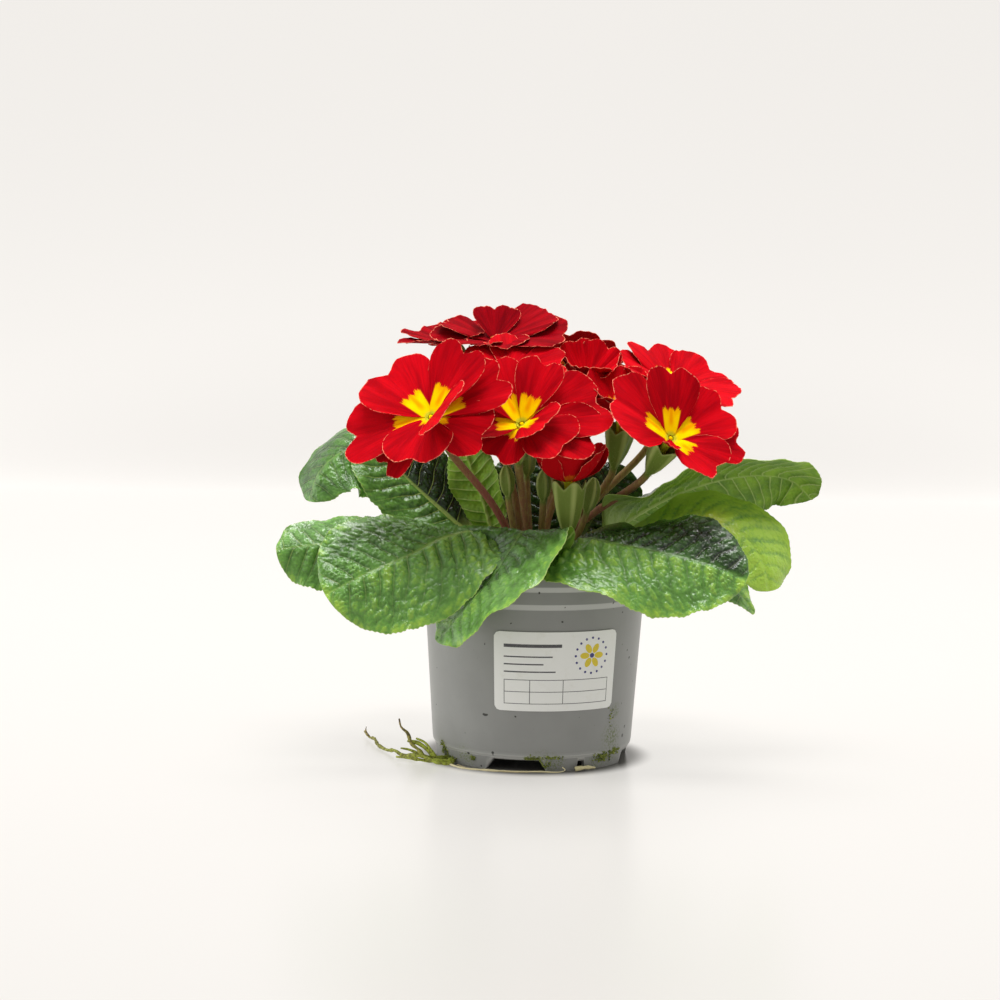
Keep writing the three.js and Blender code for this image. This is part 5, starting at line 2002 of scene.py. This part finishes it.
@dataclass(frozen=True)
class Bud:
    """A closed bud on its stalk: a calyx whose five tips draw together round the folded petals."""

    name: str
    root: Span
    base: Point
    facing: Point
    size: float

    SIDES = 50
    STALK_RADIUS = 1.5
    LENGTH = 17.6
    LEVELS = (0, 3, 8, 12.5, 16, 18)  # heights at which the body's radius and ridges are set
    BODY = (1.7, 3.4, 4.3, 3.9, 2.2, 0.6)
    RIDGES = (0.0, 0.3, 0.5, 0.65, 0.45, 0.1)

    def build(self, seed: int) -> None:
        """Makes the bud: stalk rings, then a body whose radius follows LEVELS, with five ridges as
        the cosine of five times the azimuth.

        Args:
            seed: for its down.
        """
        way = unit(np.array(self.facing, float))
        start = np.array(self.base, float)
        carrier = Bloom(self.name, self.base, self.facing, self.root, ())
        shares = np.linspace(0, 0.98, 20)
        stalk = carrier.stalk_rings(start, way, self.STALK_RADIUS, shares, self.SIDES)
        level = np.linspace(0, self.LENGTH, 30)[:, None]
        ridge = np.cos(10 * np.pi * np.arange(self.SIDES) / self.SIDES)[None, :]
        radius = np.interp(level, self.LEVELS, self.BODY)
        radius = radius + ridge * np.interp(level, self.LEVELS, self.RIDGES)
        ways = around(*square_to(way), self.SIDES) * (radius * self.size)[..., None]
        rings = np.concatenate([stalk, start + level[..., None] * self.size * way + ways])
        in_calyx = smoothstep(np.concatenate([[0.0], shares]), 0.9, 1.0)[:, None]
        stalk_a = np.concatenate([
            layers(0.55, 0.0, in_calyx * np.ones((1, self.SIDES))),
            layers(0.55, smoothstep(ridge, 0.5, 1.0), np.ones_like(radius)),
        ])
        outside = rings[2:]
        outwards = unit(outside - outside.mean(1, keepdims=True))
        down = carrier.down_skin(outside.reshape(-1, 3), outwards.reshape(-1, 3), seed, 260)
        skins = [closed_loft(rings, {"stalk_a": stalk_a}), down]
        make_piece(f"{self.name}_calyx", skins, DOWNY, self.name)


BUDS = (
    Bud("bud_front_left", (-7.5, -12), (-13, -20, 122), (-0.1, -0.2, 1), 0.8),
    Bud("bud_front", (2, -4.8), (3, -17, 120), (0, -0.2, 1), 0.8),
    Bud("bud_right", (14.5, -9.5), (23, -17, 115), (0.2, -0.1, 1), 0.9),
    Bud("bud_back", (-2, 11.5), (-4, 22, 128), (0, 0.2, 1), 0.9),
)


# ---------------- stray roots and moss


@dataclass(frozen=True)
class Strand:
    """One stray root: its stops, its radius, how green it is at its start and its end, and how pale."""

    stops: tuple[Point, ...]
    radius: float
    life: Span = (0.5, 0.5)
    pale: float = 0.0

    def skin(self, seed: int) -> Skin:
        """A tube that tapers to its end, its radius uneven by noise.

        Args:
            seed: for the noise.

        Returns:
            The skin.
        """
        course = Course.through(np.array(self.stops, float))
        shares = np.linspace(0, 1, max(16, int(course.length / 0.9)))
        uneven = 1 + 0.3 * value_noise(shares * course.length / 2.2, shares * 0, seed)
        radius = self.radius * uneven * (1 - 0.5 * shares**2)
        life = mix(self.life[0], self.life[1], shares)
        return tube(course, radius, shares, 8, {"root_a": layers(life, self.pale, 0.0)})


@dataclass(frozen=True)
class StrayRoot:
    """A stray root with its side strands, which lies beside the foot of the pot."""

    node: str
    strands: tuple[Strand, ...]

    def build(self, seed: int) -> None:
        """Makes the root in one piece."""
        skins = [strand.skin(seed + k) for k, strand in enumerate(self.strands)]
        make_piece(f"{self.node}_strands", skins, DriedRoot("stray_root"), self.node)


STRAY_ROOTS = (
    StrayRoot("root_long", (
        Strand(((-36.1, -19.3, 1.2), (-41, -21.9, 1.2), (-46, -23.5, 1.3), (-51, -22.5, 2.2), (-56, -19, 1.4),
                (-60, -16, 1.2), (-63, -13, 2.4), (-67, -6, 1.3), (-72, 6, 1.4), (-74, 14, 2.6), (-77, 24, 1.5),
                (-80, 34, 2.4)), 1.0, (1.0, 0.25)),
        Strand(((-44, -24, 1.4), (-50, -27, 3.2), (-56, -26, 5.5), (-60, -25, 6.0)), 0.8, (1.0, 0.9)),
        Strand(((-41, -25, 1.4), (-47, -29, 1.2), (-54, -29, 2.0), (-62, -25, 2.0)), 0.9, (1.0, 0.7)),
        Strand(((-77, 24, 1.6), (-79, 27, 3.8), (-79, 30, 5.4)), 0.4, (0.1, 0.0)),
    )),
    StrayRoot("root_short", (
        Strand(((-35.3, -28.5, 1.4), (-39, -30.5, 1.4), (-44, -30.5, 1.6), (-49, -29.5, 3.4), (-52, -28, 6.2),
                (-55, -27, 8.5), (-57, -25, 13), (-60, -23.5, 15.5), (-61, -22, 19)), 1.0, (1.0, 0.0)),
        Strand(((-43, -30, 1.6), (-47, -28, 5.4), (-52, -26, 8.6), (-57, -26, 9.6)), 1.1, (1.0, 1.0)),
        Strand(((-43, -30, 1.6), (-46, -29, 6.0), (-49, -27, 9.2), (-53, -26, 10.8)), 0.8, (1.0, 0.9)),
        Strand(((-37, -31, 1.6), (-42, -33, 1.6), (-48, -32, 3.0), (-51, -31, 5.2)), 1.2, (1.0, 0.8)),
        Strand(((-36, -33, 1.3), (-40, -36, 1.3), (-45, -35, 2.0)), 0.8, (0.9, 0.9)),
    )),
    StrayRoot("root_fine", (
        Strand(((-38, -34, 0.9), (-31, -43, 0.9), (-20, -47.6, 1.1), (-8, -48.8, 0.8), (3, -48.6, 1.0),
                (12, -47.4, 0.7), (14.5, -45.9, 1.4), (13.2, -45.6, 2.6)), 0.45, (0.0, 0.1), 1.0),
        Strand(((-34, -36, 1.0), (-27, -44, 0.7), (-14, -48.9, 0.8), (-2, -49.6, 0.7)), 0.28, (0.0, 0.0), 0.4),
        Strand(((19, -43.6, 1.4), (22.5, -42.6, 1.9), (26, -40.6, 1.7), (28, -39, 1.3)), 1.0, (0.15, 0.1), 0.9),
    )),
)


@dataclass(frozen=True)
class MossyFoot:
    """Moss that grows in tufts on the damp foot of the pot.

    tufts: azimuth and height of each tuft's middle, and its half width and half height, all in
    degrees and mm, then its count of shoots.
    """

    pot: NurseryPot
    tufts: tuple[tuple[float, float, float, float, int], ...] = (
        (-1, 4.6, 3.5, 3.2, 120), (4, 3, 6, 1.8, 90), (10, 6.6, 7, 0.9, 60), (44, 5.2, 7, 2.2, 110),
        (54, 7, 5, 2, 60), (-63, 6, 3, 3, 60), (-37, 4.4, 2, 1, 22), (-56, 2, 6, 1.2, 50),
        (48, 24, 3, 5, 14), (120, 4, 7, 2.5, 90), (168, 5, 9, 2.5, 110), (-125, 4, 8, 2.5, 90),
    )

    FLANK = ((0.0, 6.2, 7.1, 9.0, 73.5), (44.7, 45.1, 45.9, 46.2, 50.6))  # heights, and the pot's radii

    def build(self) -> None:
        """Makes crumbs and shoots of moss at places drawn round each tuft's middle."""
        random = np.random.default_rng(77)
        azimuth, z = [], []
        for middle, height, wide, tall, count in self.tufts:
            azimuth.append(middle + wide * np.clip(random.normal(size=count) * 0.5, -1, 1))
            z.append(height + tall * np.clip(random.normal(size=count) * 0.5, -1, 1))
        azimuth, z = np.concatenate(azimuth), np.maximum(np.concatenate(z), 0.9)
        roof = self.pot.arch(azimuth)
        z = np.where(roof > z - 0.6, roof + 0.7, z)
        radius = np.interp(z, self.FLANK[0], self.FLANK[1])
        places = polar(azimuth, radius + 0.15, z)
        outward = unit(polar(azimuth, np.ones_like(azimuth), 0.0 * azimuth))
        size = random.uniform(0.2, 0.6, (len(z), 1)) * random.uniform(0.7, 1.2, (len(z), 3))
        rising = UP * random.uniform(-0.3, 0.9, (len(z), 1))
        lean = unit(outward + rising + 0.5 * random.normal(size=(len(z), 3)))
        fields = {"moss_a": layers(random.uniform(0, 1, len(z)), 0.0, 0.0)}
        shoots = spikes(places, lean, random.uniform(0.5, 1.5, len(z)), 0.16, fields)
        skins = [lumps(places, size, 78, fields), shoots]
        make_piece("pot_moss", skins, CushionMoss("cushion_moss"), "pot")


# ---------------- studio


@dataclass(frozen=True)
class SoftLamp:
    """A rectangular lamp that points at the plant: where it stands in mm, its width and height in
    metres, and its power in watts."""

    name: str
    place: Point
    size: Span
    power: float
    aim: Point = (0.0, 0.0, 110.0)

    def build(self) -> None:
        """Makes the lamp."""
        data = bpy.data.lights.new(self.name, "AREA")
        data.shape, data.size, data.size_y, data.energy = "RECTANGLE", *self.size, self.power
        lamp = place_object(self.name, data)
        way = Vector(self.aim) - Vector(self.place)
        lamp.location = Vector(self.place) * MM
        lamp.rotation_mode = "QUATERNION"
        lamp.rotation_quaternion = way.to_track_quat("-Z", "Y")


@dataclass(frozen=True)
class Studio:
    """A pale sheet that curves up behind, a bright room, soft lamps and the camera.

    eye: where the camera stands, in mm. pitch: how far it looks down, in degrees. turn: its turn
    about its own axis, in radians. lens and sensor: in mm.
    """

    eye: Point = (-16.6, -1040.0, 204.0)
    pitch: float = 4.72
    turn: float = 0.0165
    lens: float = 81.18
    sensor: float = 36.0
    lamps: tuple[SoftLamp, ...] = (
        SoftLamp("top_light", (0.0, -150.0, 1200.0), (0.6, 0.5), 12.0),
        SoftLamp("back_light", (150.0, 700.0, 1250.0), (0.6, 0.3), 9.0),
        SoftLamp("side_light", (-1500.0, -100.0, 600.0), (1.6, 1.2), 11.0),
    )

    def camera(self) -> None:
        """A camera that looks along +Y, pitched down, and turned a little about its own axis."""
        data = bpy.data.cameras.new("camera")
        data.lens, data.sensor_width, data.clip_start, data.clip_end = self.lens, self.sensor, 0.05, 30.0
        camera = place_object("camera", data)
        tilt = Matrix.Rotation(math.radians(90.0 - self.pitch), 4, "X")
        roll = Matrix.Rotation(self.turn, 4, "Z")
        camera.matrix_world = Matrix.Translation(Vector(self.eye) * MM) @ tilt @ roll
        bpy.context.scene.camera = camera

    def sheet(self) -> None:
        """A sheet swept along X: flat, then a quarter circle, then upright."""
        turn = np.linspace(0, np.pi / 2, 32)
        radius, back, front, wide, tall = 900.0, 1500.0, -1500.0, 3200.0, 3200.0
        curve = np.stack([back + radius * np.sin(turn), radius * (1 - np.cos(turn))], -1)
        line = np.concatenate([[[front, 0.0]], curve, [[back + radius, tall]]])
        points = layers(np.array([[-wide, wide]]), line[:, :1], line[:, 1:])
        mesh = bpy.data.meshes.new("studio_sheet")
        faces = grid_quads(len(line), 2)[:, ::-1]
        mesh.from_pydata((points.reshape(-1, 3) * MM).tolist(), [], faces.tolist())
        mesh.polygons.foreach_set("use_smooth", np.ones(len(mesh.polygons), bool))
        mesh.materials.append(LitAcrylic("lit_white_acrylic").material())
        place_object("studio_sheet", mesh)

    def room(self) -> None:
        """The even light of a white room, dimmer on the side that the camera stands on."""
        world = bpy.data.worlds.new("studio_room")
        world.use_nodes = True
        tree = world.node_tree
        tree.nodes.clear()
        node = partial(add_node, tree)
        forward = node(Kind.PARTS, node(Kind.PLACE).outputs["Generated"]).outputs["Y"]
        node(Kind.WORLD, node(Kind.LIGHT, "#fffcf9", node(Kind.RAMP, forward, -0.9, 0.4, 0.48, 1.15)))
        bpy.context.scene.world = world

    def build(self) -> None:
        """Sets the camera, the sheet, the room's light and the lamps."""
        self.camera()
        self.sheet()
        self.room()
        for lamp in self.lamps:
            lamp.build()
        bpy.context.scene.view_settings.view_transform = "Standard"


def main() -> None:
    """Builds the studio, the pot and the plant in order."""
    logging.basicConfig(level=logging.INFO, format="%(message)s")
    Studio().build()
    pot = NurseryPot()
    pot.build()
    MossyFoot(pot).build()
    PotLabel(pot).build()
    PeatBall(pot).build()
    LeafRosette(LEAVES).build()
    for number, bloom in enumerate(BLOOMS):
        bloom.build(20 * number + 7)
    for number, bud in enumerate(BUDS):
        bud.build(400 + number)
    for number, root in enumerate(STRAY_ROOTS):
        root.build(500 + 10 * number)


if __name__ == "__main__":
    main()
